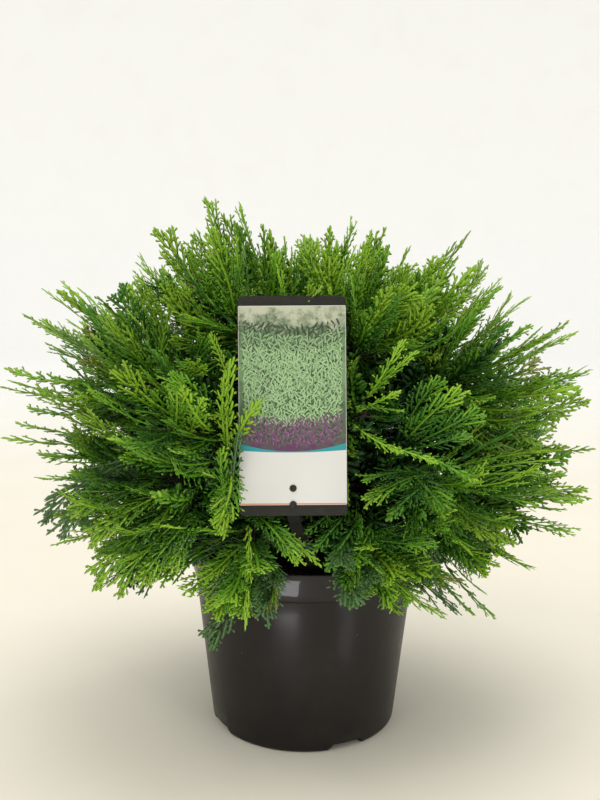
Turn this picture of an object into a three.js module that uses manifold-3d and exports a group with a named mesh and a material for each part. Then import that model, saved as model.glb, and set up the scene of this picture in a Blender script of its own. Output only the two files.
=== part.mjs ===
// A globosa lawson cypress in its black nursery pot: a short trunk, boughs that fan out from it, and a
// low, dense globe of flat scale-leaved sprays, with a picture label on a black holder at the front.
// Millimetres, +Z up, -Y is the front. The origin is the middle of the pot's foot, on the ground.

import * as THREE from "three";
import { mergeVertices } from "three/addons/utils/BufferGeometryUtils.js";
import Module from "manifold-3d";

const wasm = await Module();
wasm.setup();

// Driving dimensions.

const GAP = 0.3; // between two pieces that rest on each other
const WELD = 1e-3; // points closer than this are one point

const POT = {
  height: 139,
  footRadius: 69.3,
  rimRadius: 86.4,
  wall: 1.7,
  bandHeight: 21, // the stiff band round the top
  bandStep: 1.6, // how far the band stands proud of the wall
  lip: 1.2, // rounding at the top of the band
  heel: 2.4, // rounding at the foot
  floorLift: 4.5,
  floorThickness: 2,
  footWidth: 6,
  footChamfer: 1,
  notches: 4,
  notchAzimuth: -63,
  notchWidth: 24,
  notchHeight: 4,
  drainHoles: 4,
  drainHoleRadius: 5,
  drainCircle: 48,
  sides: 40,
};

const SOIL = {
  top: 124.5,
  edgeDrop: 2.5, // how much lower it lies at the wall
  mound: 1.8, // how much higher it lies between the wall and the trunk
  wallRoom: 0.7,
  chamfer: 0.8,
  edgeChamfer: 0.4,
  moundAt: 0.8, // as a share of the soil's radius
  dipAt: 0.45,
  dip: 0.6, // the share of the mound that is left there
  trunkRoom: 4, // the width of the level ring round the trunk's flare
  sides: 32,
};

const TRUNK = {
  tip: new THREE.Vector3(1.5, -1, 226),
  lean: new THREE.Vector3(2.2, -1.2, 0), // how far its middle bows out of the straight line
  radius: 7.4,
  tipRadius: 3.4,
  flareRadius: 12,
  flareHeight: 9,
  sides: 9,
  rings: 6,
  crowding: 1.4, // the rings lie closer together towards the flare
};

// A bough arches by a share of its length, and ends before a share of its mass's reach.
const BOUGH = { radius: 2.7, tipRadius: 1.9, sides: 5, steps: 3, arch: 0.45, share: 0.5 };

const CROWN = {
  centre: new THREE.Vector3(0, 0, 205),
  // How far the sprays reach from the centre at each elevation in degrees.
  profile: [
    [-60, 100], [-38, 150], [-28, 170], [-14, 192], [0, 208], [15, 216], [27, 213],
    [40, 199], [52, 188], [65, 179], [78, 171], [90, 167],
  ],
  flatBack: 0.2, // the share of its reach that it gives up at the back
  // The crown is pressed in at the front, where the label stands.
  hollow: { azimuth: -86, elevation: 12, depth: 0.4, width: 31, height: 34 },
  lopsided: 0.06, // it stands higher on the left than on the right
  lumps: 0.035,
  lowestTip: 84,
  wallMargin: 0.45, // what each mass keeps clear of the side of its own space
  stagger: 12, // neighbours in a ring leave the trunk at heights that differ by up to this
  potRoom: 2, // what the foliage keeps clear of the pot
};

// Rings of foliage masses: elevation of the ring, how many masses, azimuth of the first, where their
// boughs leave the trunk, and how far from the crown's centre the boughs end.
const RINGS = [
  { name: "top", elevation: 90, count: 1, azimuth: 0, from: TRUNK.tip.z, reach: 21.3 },
  { name: "upper", elevation: 57, count: 5, azimuth: -54, from: 212, reach: 60 },
  { name: "shoulder", elevation: 27, count: 7, azimuth: -64.3, from: 197, reach: 62 },
  { name: "side", elevation: -2, count: 7, azimuth: -90, from: 181, reach: 62 },
  { name: "skirt", elevation: -27, count: 7, azimuth: -64.3, from: 165, reach: 60 },
];

// The heart of a mass. Lengths are shares of the mass's reach, and widths are shares of its own space.
const CORE = {
  start: 0.04, // beyond the end of the bough
  end: 0.74,
  rows: [[0, 0.45], [0.4, 1], [0.8, 0.92]], // how far along each ring lies, and how full it is
  fill: 0.86,
  fold: 0.12, // every second corner is drawn in
  widest: 0.42, // no wider than this share of the distance from the crown's centre
  rough: 0.2,
  sides: 9,
};

const STEM = { radius: 1.9, tipRadius: 1.1, sides: 3, end: 0.66, shortest: 16 };

const SPRAY = {
  count: 214,
  lowest: -36, // elevation of the lowest sprays
  highest: 89,
  golden: 137.50776, // the turn from one spray to the next, in degrees
  reachLow: 0.93,
  reachHigh: 1.03,
  scatter: 5,
  length: 76, // of the toothed blade
  halfWidth: 20,
  twigHalf: 1.3,
  ridge: 1.7,
  teeth: 5,
  notch: 0.3,
  lead: 0.45, // how far each tooth leans towards the tip, as a share of the tooth spacing
  rise: 0.65, // how strongly the tips of the sprays turn up
  leaderRise: 0.1,
  risesFrom: -40, // elevation under which no spray turns up, and the degrees over which it comes in
  risesOver: 40,
  nearLeader: 0.9945, // cosine of the angle within which a leader takes a spray's place
  rootLow: 0.3, // where the lowest spray leaves its stem, and over how much of the stem they leave
  rootRange: 0.55,
  rootAngle: 0.12, // one minus the cosine at which a spray leaves at the lowest place
  rootChance: 0.25,
  arch: 0.45,
  tilt: 75, // how far a blade may lie from level, in degrees
  rolls: [0, 20, -20, 40, -40, 65, -65, 90],
  widths: [1, 0.78, 0.56],
};

// Single shoots that stand out of the globe and give the crown its ragged edge: azimuth and elevation
// in degrees, reach from the crown's centre, and half width of the blade.
const LEADERS = [
  [164, 68, 197, 10], [184, 76, 178, 9], [150, 62, 189, 9], [-144, 78, 166, 10], [0, 79, 166, 9],
  [-22, 71, 166, 10], [-25, 61, 168, 10], [2, 54, 203, 5], [-10, 43, 182, 9], [4, 35, 196, 10],
  [0, 27, 216, 8], [-9, 18, 212, 9], [1, 2, 217, 7], [3, -9, 213, 9], [-8, -16, 207, 11],
  [-16, -38, 184, 8], [180, 15, 226, 8], [-174, 4, 221, 7], [179, -15, 206, 12], [-170, -19, 190, 13],
  [-168, -32, 181, 13], [180, 32, 218, 7], [174, 25, 224, 9], [-168, 38, 190, 10], [178, 49, 184, 10],
  [163, 54, 188, 9], [-118, -37, 168, 15], [-102, -36, 162, 14], [-61, -33, 156, 15], [-46, -30, 168, 13],
  [90, 8, 162, 9], [84, 45, 160, 9], [-128, 12, 197, 8], [-50, 16, 190, 9],
];

const LABEL = {
  centre: new THREE.Vector3(-8.8, -95, 256.4),
  width: 70,
  height: 142,
  thickness: 1.6,
  corner: 4,
  leanBack: 9.7,
  turn: 0.8, // its top leans to the left
  cardHeight: 128.5,
  cardBottom: 7, // from the holder's lower edge
  cardThickness: 0.5,
  cardMargin: 0.3, // on each side of the card
  cardCorner: 0.8,
  pegRadius: 2.3,
  pegStand: 0.9,
  pegHeights: [0.4, 10.8], // above the card's lower edge
  stemWidth: 9,
  stemThinner: 0.05, // how much the stem's faces lie inside the holder's
  stemTop: 8, // above the holder's lower edge, behind it
  stemKnee: -5,
  stemShoulder: 0.7, // how far down the buried part the point starts
  stemPoint: 0.3, // the width of the point, as a share of the stem's
  stemEntry: new THREE.Vector3(7, -76.5, 143), // where it clears the pot's rim
  stemFoot: new THREE.Vector3(9, -71.5, 96),
  clearance: 3.5, // between the label and the sprays round it
  margin: 6, // how far beside it a spray may pass
  view: 60, // how far in front of it no spray grows
};

const COLOURS = {
  pot: "#2b2826",
  soil: "#33271d",
  bark: "#6a4a34",
  foliage: ["#4f7d2b", "#5d8c30", "#456f2a", "#6a9a38", "#3f6a2c"],
  holder: "#2a2725",
  card: "#d9d9d2",
};

// Small helpers.

const UP = new THREE.Vector3(0, 0, 1);

function degrees(angle) {
  return (angle * Math.PI) / 180;
}

function direction(azimuth, elevation) {
  const flat = Math.cos(degrees(elevation));
  const x = flat * Math.cos(degrees(azimuth));
  const y = flat * Math.sin(degrees(azimuth));
  return new THREE.Vector3(x, y, Math.sin(degrees(elevation)));
}

// The same number from 0 to 1 for the same pair, on every run.
function chance(seed, index) {
  const x = Math.sin(seed * 12.9898 + index * 78.233) * 43758.5453;
  return x - Math.floor(x);
}

function along(start, unit, distance) {
  return start.clone().addScaledVector(unit, distance);
}

function solidFrom(geometry) {
  const bare = geometry.clone();
  bare.deleteAttribute("normal");
  bare.deleteAttribute("uv");
  const merged = mergeVertices(bare, WELD);
  const index = merged.index.array;
  const faces = [];
  for (let i = 0; i < index.length; i += 3) {
    const [a, b, c] = [index[i], index[i + 1], index[i + 2]];
    if (a !== b && b !== c && c !== a) faces.push(a, b, c);
  }
  const vertProperties = merged.getAttribute("position").array;
  const mesh = new wasm.Mesh({ numProp: 3, vertProperties, triVerts: new Uint32Array(faces) });
  return new wasm.Manifold(mesh);
}

function geometryFrom(solid) {
  const mesh = solid.getMesh();
  const geometry = new THREE.BufferGeometry();
  geometry.setAttribute("position", new THREE.BufferAttribute(mesh.vertProperties.slice(), 3));
  geometry.setIndex(new THREE.BufferAttribute(mesh.triVerts.slice(), 1));
  geometry.computeVertexNormals();
  return geometry;
}

// A closed skin over rings of points that all have the same count; the last may be a single point.
function skin(rings) {
  const points = rings.flat();
  const faces = [];
  const n = rings[0].length;
  for (let i = 1; i < n - 1; i++) faces.push(0, i + 1, i);
  let base = 0;
  for (let r = 0; r + 1 < rings.length; r++) {
    const next = base + n;
    const closes = rings[r + 1].length === 1;
    for (let i = 0; i < n; i++) {
      const j = (i + 1) % n;
      if (closes) {
        faces.push(base + i, base + j, next);
      } else {
        faces.push(base + i, base + j, next + j, base + i, next + j, next + i);
      }
    }
    base = next;
  }
  const last = rings[rings.length - 1];
  for (let i = 1; i < last.length - 1; i++) faces.push(base, base + i, base + i + 1);
  const geometry = new THREE.BufferGeometry().setFromPoints(points);
  geometry.setIndex(faces);
  return geometry;
}

function ringAbout(centre, axis, radius, sides, turn = 0) {
  const facing = new THREE.Quaternion().setFromUnitVectors(UP, axis);
  const points = [];
  for (let i = 0; i < sides; i++) {
    const angle = turn + (i / sides) * 2 * Math.PI;
    const spoke = new THREE.Vector3(Math.cos(angle), Math.sin(angle), 0).applyQuaternion(facing);
    points.push(along(centre, spoke, radius));
  }
  return points;
}

function turned(profile, sides) {
  const geometry = new THREE.LatheGeometry(profile, sides);
  geometry.rotateX(Math.PI / 2);
  return geometry;
}

// The pot.

function potWallRadius(z) {
  const bodyTop = POT.rimRadius - POT.bandStep;
  return POT.footRadius + ((bodyTop - POT.footRadius) * z) / POT.height;
}

function potProfile() {
  const band = POT.height - POT.bandHeight;
  const floorTop = POT.floorLift + POT.floorThickness;
  const footInner = POT.footRadius - POT.footWidth;
  const corner = [[0, 1], [0.3, 0.3], [1, 0]].map(([out, up]) => [
    potWallRadius(0) - POT.heel + (1 - out) * POT.heel,
    up * POT.heel,
  ]);
  return [
    [0, POT.floorLift],
    [footInner, POT.floorLift],
    [footInner + POT.footChamfer, 0],
    ...corner.reverse(),
    [potWallRadius(band), band],
    [potWallRadius(band) + POT.bandStep, band + 1],
    [POT.rimRadius, POT.height - POT.lip],
    [POT.rimRadius - POT.lip, POT.height],
    [POT.rimRadius - POT.wall - POT.bandStep, POT.height],
    [potWallRadius(floorTop) - POT.wall, floorTop],
    [0, floorTop],
  ].map(([r, z]) => new THREE.Vector2(r, z));
}

function potSolid() {
  let pot = solidFrom(turned(potProfile(), POT.sides));
  for (let i = 0; i < POT.notches; i++) {
    const notch = new THREE.BoxGeometry(4 * POT.footWidth, POT.notchWidth, 2 * POT.notchHeight);
    notch.translate(POT.footRadius - POT.footWidth / 2, 0, 0);
    notch.rotateZ(degrees(POT.notchAzimuth + (i * 360) / POT.notches));
    pot = pot.subtract(solidFrom(notch));
  }
  for (let i = 0; i <= POT.drainHoles; i++) {
    const radius = POT.drainHoleRadius;
    const hole = new THREE.CylinderGeometry(radius, radius, 4 * POT.floorThickness, 10);
    hole.rotateX(Math.PI / 2);
    const turn = degrees(POT.notchAzimuth + (i * 360) / POT.drainHoles);
    const out = i < POT.drainHoles ? POT.drainCircle : 0;
    hole.translate(out * Math.cos(turn), out * Math.sin(turn), POT.floorLift + POT.floorThickness / 2);
    pot = pot.subtract(solidFrom(hole));
  }
  return pot;
}

// The potting soil, which fills the pot to just under its band.

function soilSolid(label) {
  const bottom = POT.floorLift + POT.floorThickness + GAP;
  const inner = (z) => potWallRadius(z) - POT.wall - SOIL.wallRoom;
  const edge = SOIL.top - SOIL.edgeDrop;
  const profile = [
    [0, bottom],
    [inner(bottom) - SOIL.chamfer, bottom],
    [inner(edge) - SOIL.edgeChamfer, edge],
    [inner(edge) * SOIL.moundAt, SOIL.top + SOIL.mound],
    [inner(edge) * SOIL.dipAt, SOIL.top + SOIL.mound * SOIL.dip],
    [TRUNK.flareRadius + SOIL.trunkRoom, SOIL.top],
    [0, SOIL.top],
  ].map(([r, z]) => new THREE.Vector2(r, z));
  return solidFrom(turned(profile, SOIL.sides)).subtract(label);
}

// The trunk: flared where it stands on the soil, bowed a little, and tapered to its tip.

function trunkCentre(z) {
  const share = (z - SOIL.top) / (TRUNK.tip.z - SOIL.top);
  const bow = Math.sin(Math.PI * share);
  return new THREE.Vector3(
    TRUNK.tip.x * share + TRUNK.lean.x * bow,
    TRUNK.tip.y * share + TRUNK.lean.y * bow,
    z,
  );
}

function trunkRadius(z) {
  const share = (z - SOIL.top) / (TRUNK.tip.z - SOIL.top);
  const flare = Math.exp(-(z - SOIL.top) / TRUNK.flareHeight);
  const plain = TRUNK.radius + (TRUNK.tipRadius - TRUNK.radius) * share;
  return plain + (TRUNK.flareRadius - TRUNK.radius) * flare;
}

function trunkSolid(grow = 0) {
  const rings = [];
  for (let i = 0; i <= TRUNK.rings; i++) {
    const share = (i / TRUNK.rings) ** TRUNK.crowding;
    const z = SOIL.top + GAP + share * (TRUNK.tip.z - SOIL.top - GAP);
    rings.push(ringAbout(trunkCentre(z), UP, trunkRadius(z) + grow, TRUNK.sides));
  }
  return solidFrom(skin(rings));
}

// The crown's outline: how far the sprays reach from its centre in a direction.

function crownReach(azimuth, elevation) {
  const rows = CROWN.profile;
  let k = 0;
  while (k < rows.length - 2 && elevation > rows[k + 1][0]) k++;
  const [[low, from], [high, to]] = [rows[k], rows[k + 1]];
  const share = THREE.MathUtils.clamp((elevation - low) / (high - low), 0, 1);
  const reach = from + (to - from) * share;
  const a = degrees(azimuth);
  // Three low waves round the crown, out of step, make its outline uneven.
  const wave = Math.sin(3 * a + 0.6) + 0.7 * Math.sin(5 * a + 2.1) + 0.5 * Math.sin(8 * a);
  const lumps = 1 + CROWN.lumps * wave * Math.cos(degrees(elevation));
  const { hollow } = CROWN;
  const off = ((azimuth - hollow.azimuth + 540) % 360) - 180;
  const rise = elevation - hollow.elevation;
  const press = Math.exp(-((off / hollow.width) ** 2) - (rise / hollow.height) ** 2);
  const back = 1 - CROWN.flatBack * Math.max(0, Math.sin(a)) ** 2 * Math.cos(degrees(elevation));
  const lopsided = 1 - CROWN.lopsided * Math.cos(a) * Math.sin(degrees(2 * Math.max(0, elevation)));
  return reach * lumps * back * lopsided * (1 - hollow.depth * press);
}

function anglesOf(unit) {
  const azimuth = (Math.atan2(unit.y, unit.x) * 180) / Math.PI;
  return [azimuth, (Math.asin(THREE.MathUtils.clamp(unit.z, -1, 1)) * 180) / Math.PI];
}

// The masses, each with the axis of its own cone of space.

function foliageMasses() {
  const masses = [];
  for (const ring of RINGS) {
    for (let i = 0; i < ring.count; i++) {
      const axis = direction(ring.azimuth + (i * 360) / ring.count, ring.elevation);
      const share = (i * Math.floor(ring.count / 2)) / ring.count;
      const stagger = ring.count > 1 ? CROWN.stagger * ((share % 1) - 0.5) : 0;
      const number = String(i + 1).padStart(2, "0");
      const label = ring.count > 1 ? `${ring.name}_${number}` : ring.name;
      masses.push({ label, axis, ring, from: ring.from + stagger, sprays: [] });
    }
  }
  return masses;
}

// How deep a point lies inside a mass's own space, which ends half way to each neighbour's axis.
function depthInside(masses, mine, point) {
  const offset = point.clone().sub(CROWN.centre);
  let depth = Infinity;
  masses.forEach((other, i) => {
    if (i === mine) return;
    const across = masses[mine].axis.clone().sub(other.axis);
    depth = Math.min(depth, offset.dot(across) / across.length());
  });
  return depth;
}

function nearestMass(masses, unit) {
  let best = 0;
  masses.forEach((mass, i) => {
    if (mass.axis.dot(unit) > masses[best].axis.dot(unit)) best = i;
  });
  return best;
}

function keepsToSpace(masses, mine, point) {
  return point.z > CROWN.lowestTip && depthInside(masses, mine, point) > CROWN.wallMargin;
}

// What the foliage stays out of: the pot, and the label with the space in front of it.
function keptClear(frame) {
  const radius = POT.rimRadius + CROWN.potRoom;
  const height = POT.height + CROWN.potRoom;
  const pot = new THREE.CylinderGeometry(radius, radius, height, 32);
  pot.rotateX(Math.PI / 2);
  pot.translate(0, 0, height / 2);
  const room = LABEL.clearance;
  const bay = new THREE.BoxGeometry(
    LABEL.width + 2 * room,
    LABEL.view + LABEL.thickness + room,
    LABEL.height + 2 * room,
  );
  bay.translate(0, (LABEL.thickness + room - LABEL.view) / 2, 0);
  bay.applyMatrix4(frame);
  return wasm.Manifold.union([solidFrom(pot), solidFrom(bay), labelStemSolid(frame, 0.5 * room)]);
}

// How far along a direction the label stops a spray, if it stands in the way.
function reachToLabel(frame, unit) {
  const inverse = frame.clone().invert();
  const from = CROWN.centre.clone().applyMatrix4(inverse);
  const toward = unit.clone().transformDirection(inverse);
  const back = LABEL.thickness + 2 * LABEL.clearance;
  if (toward.y > -0.05) return Infinity;
  const distance = (back - from.y) / toward.y;
  const hit = along(from, toward, distance);
  const beside = Math.abs(hit.x) > LABEL.width / 2 + LABEL.margin;
  const past = Math.abs(hit.z) > LABEL.height / 2 + LABEL.margin;
  return beside || past ? Infinity : distance;
}

// Limbs.

function curveTo(start, axis, tip, arch) {
  const bend = along(tip, axis, -arch * tip.distanceTo(start));
  return new THREE.QuadraticBezierCurve3(start, bend, tip);
}

function boughCurve(mass) {
  const start = trunkCentre(mass.from);
  const tip = along(CROWN.centre, mass.axis, mass.boughEnd);
  return curveTo(start, mass.axis, tip, BOUGH.arch);
}

function boughSolid(mass, trunkRoom) {
  const curve = boughCurve(mass);
  const rings = [];
  for (let i = 0; i <= BOUGH.steps; i++) {
    const t = i / BOUGH.steps;
    const radius = BOUGH.radius + (BOUGH.tipRadius - BOUGH.radius) * t;
    rings.push(ringAbout(curve.getPoint(t), curve.getTangent(t), radius, BOUGH.sides));
  }
  return solidFrom(skin(rings)).subtract(trunkRoom);
}

function stemSolid(mass) {
  const start = mass.boughEnd + GAP;
  const end = Math.max(STEM.end * mass.reach, start + STEM.shortest);
  const low = ringAbout(along(CROWN.centre, mass.axis, start), mass.axis, STEM.radius, STEM.sides);
  const high = ringAbout(along(CROWN.centre, mass.axis, end), mass.axis, STEM.tipRadius, STEM.sides);
  return solidFrom(skin([low, high]));
}

// How far it is from a point to the side of the mass's own space, along a spoke.
function wallDistance(masses, mine, point, spoke) {
  const offset = point.clone().sub(CROWN.centre);
  let nearest = Infinity;
  masses.forEach((other, i) => {
    if (i === mine) return;
    const across = masses[mine].axis.clone().sub(other.axis);
    const closing = -spoke.dot(across);
    if (closing > 1e-6) nearest = Math.min(nearest, offset.dot(across) / closing);
  });
  return nearest;
}

// The dense heart of a mass, which the sprays stand out of. It fills most of the mass's own space.
function coreSolid(masses, mine, frame) {
  const mass = masses[mine];
  const start = mass.boughEnd + CORE.start * mass.reach;
  const end = CORE.end * mass.reach;
  const ring = (distance, fill, row) => {
    const middle = along(CROWN.centre, mass.axis, distance);
    const unit = ringAbout(new THREE.Vector3(), mass.axis, 1, CORE.sides, 0.4 * row);
    return unit.map((spoke, i) => {
      const wall = Math.min(wallDistance(masses, mine, middle, spoke), CORE.widest * distance);
      const folded = i % 2 ? 1 - CORE.fold : 1;
      const offset = along(middle, spoke, fill * folded * wall).sub(CROWN.centre);
      const out = offset.clone().normalize();
      const outline = Math.min(crownReach(...anglesOf(out)), reachToLabel(frame, out));
      const rough = row ? 1 - CORE.rough * chance(mine + 20, CORE.sides * row + i) : 1;
      return along(CROWN.centre, out, Math.min(offset.length(), CORE.end * outline) * rough);
    });
  };
  const rings = CORE.rows.map(([share, full], row) => {
    return ring(start + share * (end - start), full * CORE.fill, row);
  });
  return solidFrom(skin([...rings, [along(CROWN.centre, mass.axis, end)]]));
}

// Sprays.

// A spray's own curve runs from the mass's stem out to its tip. One near the mass's axis leaves higher.
function sprayCurve(mass, tip, rise, index) {
  const out = tip.clone().sub(CROWN.centre).normalize();
  const near = 1 - THREE.MathUtils.clamp((1 - out.dot(mass.axis)) / SPRAY.rootAngle, 0, 1);
  const height = (1 - SPRAY.rootChance) * near + SPRAY.rootChance * chance(7, index);
  const span = STEM.end * mass.reach - mass.boughEnd;
  const root = mass.boughEnd + span * (SPRAY.rootLow + SPRAY.rootRange * height);
  const ending = out.clone().addScaledVector(UP, rise).normalize();
  return curveTo(along(CROWN.centre, mass.axis, root), ending, tip, SPRAY.arch);
}

// How wide the blade is along its length: widest before its middle and narrow at its tip.
function bladeWidth(share) {
  return Math.sin(Math.PI * (0.12 + 0.8 * share)) ** 0.8 * (1.08 - 0.35 * share);
}

// How high the ridge stands over the blade: it is level at first and runs down towards the tip.
function ridgeHeight(t) {
  return SPRAY.ridge * Math.min(1, (1.25 - t) * 1.6);
}

// One three-sided solid: a twig that widens into a blade with forward-leaning teeth on alternate sides.
function sprayRings(curve, halfWidth, roll) {
  const total = curve.getLength();
  const first = THREE.MathUtils.clamp(1 - SPRAY.length / total, 0.3, 0.9);
  const level = new THREE.Vector3().crossVectors(curve.getTangent(1), UP);
  if (level.length() < 0.2) level.set(1, 0, 0);
  level.normalize();
  const rings = [];
  const place = (t, left, right, lead) => {
    const ahead = curve.getTangentAt(t);
    const side = level.clone().applyAxisAngle(ahead, degrees(roll));
    side.addScaledVector(ahead, -side.dot(ahead)).normalize();
    const over = new THREE.Vector3().crossVectors(side, ahead);
    const centre = curve.getPointAt(t);
    rings.push([
      along(along(centre, side, -left), ahead, left > right ? lead : 0),
      along(centre, over, ridgeHeight(t)),
      along(along(centre, side, right), ahead, right > left ? lead : 0),
    ]);
  };
  place(0, SPRAY.twigHalf, SPRAY.twigHalf, 0);
  place(first, SPRAY.twigHalf, SPRAY.twigHalf, 0);
  const step = (1 - first) / (SPRAY.teeth + 1.2);
  for (let i = 1; i <= SPRAY.teeth; i++) {
    const share = i / (SPRAY.teeth + 1);
    const wide = halfWidth * bladeWidth(share);
    const narrow = Math.max(SPRAY.twigHalf * 0.8, SPRAY.notch * wide);
    const lead = SPRAY.lead * step * total;
    const t = first + i * step;
    if (i % 2) place(t, wide, narrow, lead);
    else place(t, narrow, wide, lead);
  }
  rings.push([curve.getPointAt(1)]);
  return rings;
}

// The first roll and width whose blade keeps to the mass's own space, or nothing.
function fittedSpray(masses, mine, curve, halfWidth, index, clear) {
  const shift = SPRAY.tilt * (2 * chance(11, index) - 1);
  for (const width of SPRAY.widths) {
    for (const roll of SPRAY.rolls) {
      const rings = sprayRings(curve, halfWidth * width, roll + shift);
      if (!rings.slice(1).flat().every((point) => keepsToSpace(masses, mine, point))) continue;
      const spray = solidFrom(skin(rings));
      if (spray.intersect(clear).isEmpty()) return spray;
    }
  }
  return null;
}

function sprayTips(frame) {
  const tips = LEADERS.map(([azimuth, elevation, reach, halfWidth]) => {
    return { unit: direction(azimuth, elevation), reach, halfWidth, rise: SPRAY.leaderRise };
  });
  const floor = Math.sin(degrees(SPRAY.lowest));
  for (let k = 0; k < SPRAY.count; k++) {
    const height = floor + (1 - floor) * ((k + 0.5) / SPRAY.count);
    const elevation = (Math.asin(height) * 180) / Math.PI + SPRAY.scatter * (chance(1, k) - 0.5);
    const azimuth = k * SPRAY.golden + SPRAY.scatter * (chance(2, k) - 0.5);
    const unit = direction(azimuth, Math.min(elevation, SPRAY.highest));
    const leaders = tips.slice(0, LEADERS.length);
    if (leaders.some((leader) => leader.unit.dot(unit) > SPRAY.nearLeader)) continue;
    const [a, e] = anglesOf(unit);
    const share = SPRAY.reachLow + (SPRAY.reachHigh - SPRAY.reachLow) * chance(3, k);
    const reach = Math.min(crownReach(a, e) * share, reachToLabel(frame, unit));
    const halfWidth = SPRAY.halfWidth * (0.85 + 0.3 * chance(4, k));
    const turnsUp = THREE.MathUtils.clamp((e - SPRAY.risesFrom) / SPRAY.risesOver, 0, 1);
    const rise = SPRAY.rise * turnsUp * Math.cos(degrees(e));
    tips.push({ unit, reach, halfWidth, rise });
  }
  return tips;
}

function largestBody(solid) {
  const bodies = solid.decompose();
  return bodies.reduce((best, body) => (body.volume() > best.volume() ? body : best));
}

function massSolid(masses, mine, frame, clear) {
  const mass = masses[mine];
  const heart = stemSolid(mass).add(coreSolid(masses, mine, frame)).subtract(clear);
  return largestBody(wasm.Manifold.union([heart, ...mass.sprays]));
}

function growCrown(frame, clear) {
  const masses = foliageMasses();
  for (const mass of masses) {
    mass.reach = Math.min(crownReach(...anglesOf(mass.axis)), reachToLabel(frame, mass.axis));
    mass.boughEnd = Math.min(mass.ring.reach, BOUGH.share * mass.reach);
  }
  sprayTips(frame).forEach(({ unit, reach, halfWidth, rise }, index) => {
    const mine = nearestMass(masses, unit);
    const tip = along(CROWN.centre, unit, reach);
    const curve = sprayCurve(masses[mine], tip, rise, index);
    const spray = fittedSpray(masses, mine, curve, halfWidth, index, clear);
    if (spray) masses[mine].sprays.push(spray);
  });
  return masses;
}

// The label: a black holder on a stem that stands in the soil, with pegs that carry the printed card.

function labelFrame() {
  const frame = new THREE.Matrix4().makeRotationY(degrees(-LABEL.turn));
  frame.premultiply(new THREE.Matrix4().makeRotationX(degrees(-LABEL.leanBack)));
  return frame.setPosition(LABEL.centre);
}

// A flat plate in the label's own plane: across is X, up is Z, and the front faces -Y.
function labelPlate(shape, front, thickness) {
  const plate = new THREE.ExtrudeGeometry(shape, { depth: thickness, bevelEnabled: false, curveSegments: 4 });
  plate.rotateX(Math.PI / 2);
  plate.translate(0, front + thickness, 0);
  return plate;
}

function roundedRectangle(width, low, high, corner) {
  const half = width / 2;
  const shape = new THREE.Shape();
  shape.moveTo(-half + corner, low);
  shape.lineTo(half - corner, low);
  shape.absarc(half - corner, low + corner, corner, -Math.PI / 2, 0);
  shape.absarc(half - corner, high - corner, corner, 0, Math.PI / 2);
  shape.absarc(-half + corner, high - corner, corner, Math.PI / 2, Math.PI);
  shape.absarc(-half + corner, low + corner, corner, Math.PI, 1.5 * Math.PI);
  return shape;
}

function pegGeometry(height, radius, front, back) {
  const peg = new THREE.CylinderGeometry(radius, radius, back - front, 12);
  peg.translate(0, (front + back) / 2, height);
  return peg;
}

const LABEL_LOW = -LABEL.height / 2;
const CARD_LOW = LABEL_LOW + LABEL.cardBottom;
const CARD_FRONT = -GAP - LABEL.cardThickness; // the holder's front face is at 0 in the label's own frame

function labelHolderSolid(frame) {
  const plate = roundedRectangle(LABEL.width, LABEL_LOW, -LABEL_LOW, LABEL.corner);
  const pieces = [solidFrom(labelPlate(plate, 0, LABEL.thickness).applyMatrix4(frame))];
  for (const height of LABEL.pegHeights) {
    const front = CARD_FRONT - LABEL.pegStand;
    const peg = pegGeometry(CARD_LOW + height, LABEL.pegRadius, front, LABEL.thickness / 2);
    pieces.push(solidFrom(peg.applyMatrix4(frame)));
  }
  return wasm.Manifold.union([...pieces, labelStemSolid(frame)]);
}

// The stem starts behind the holder's lower edge and runs down to a point in the soil.
function labelStemSolid(frame, grow = 0) {
  const behind = (height) => new THREE.Vector3(0, LABEL.thickness / 2, LABEL_LOW + height);
  const top = behind(LABEL.stemTop).applyMatrix4(frame);
  const knee = behind(LABEL.stemKnee).applyMatrix4(frame);
  const half = LABEL.stemWidth / 2 + grow;
  const thick = LABEL.thickness / 2 - LABEL.stemThinner + grow;
  const section = (at, share) => [
    new THREE.Vector3(at.x - half * share, at.y - thick, at.z),
    new THREE.Vector3(at.x + half * share, at.y - thick, at.z),
    new THREE.Vector3(at.x + half * share, at.y + thick, at.z),
    new THREE.Vector3(at.x - half * share, at.y + thick, at.z),
  ];
  const foot = LABEL.stemFoot.clone();
  foot.z -= grow;
  const shoulder = LABEL.stemEntry.clone().lerp(LABEL.stemFoot, LABEL.stemShoulder);
  const rings = [section(foot, LABEL.stemPoint), section(shoulder, 1), section(LABEL.stemEntry, 1)];
  return solidFrom(skin([...rings, section(knee, 1), section(top, 1)]));
}

function labelCardSolid(frame) {
  const width = LABEL.width - 2 * LABEL.cardMargin;
  const shape = roundedRectangle(width, CARD_LOW, CARD_LOW + LABEL.cardHeight, LABEL.cardCorner);
  let card = solidFrom(labelPlate(shape, CARD_FRONT, LABEL.cardThickness).applyMatrix4(frame));
  for (const height of LABEL.pegHeights) {
    const front = CARD_FRONT - LABEL.thickness;
    const hole = pegGeometry(CARD_LOW + height, LABEL.pegRadius + GAP, front, 0);
    card = card.subtract(solidFrom(hole.applyMatrix4(frame)));
  }
  return card;
}

// Assembly.

function material(colour, roughness) {
  return new THREE.MeshStandardMaterial({ color: colour, roughness, metalness: 0 });
}

const plant = new THREE.Group();

function add(name, solid, finish) {
  const mesh = new THREE.Mesh(geometryFrom(solid), finish);
  mesh.name = name;
  plant.add(mesh);
}

const frame = labelFrame();
const trunkRoom = trunkSolid(GAP);
const bark = material(COLOURS.bark, 0.9);

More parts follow.
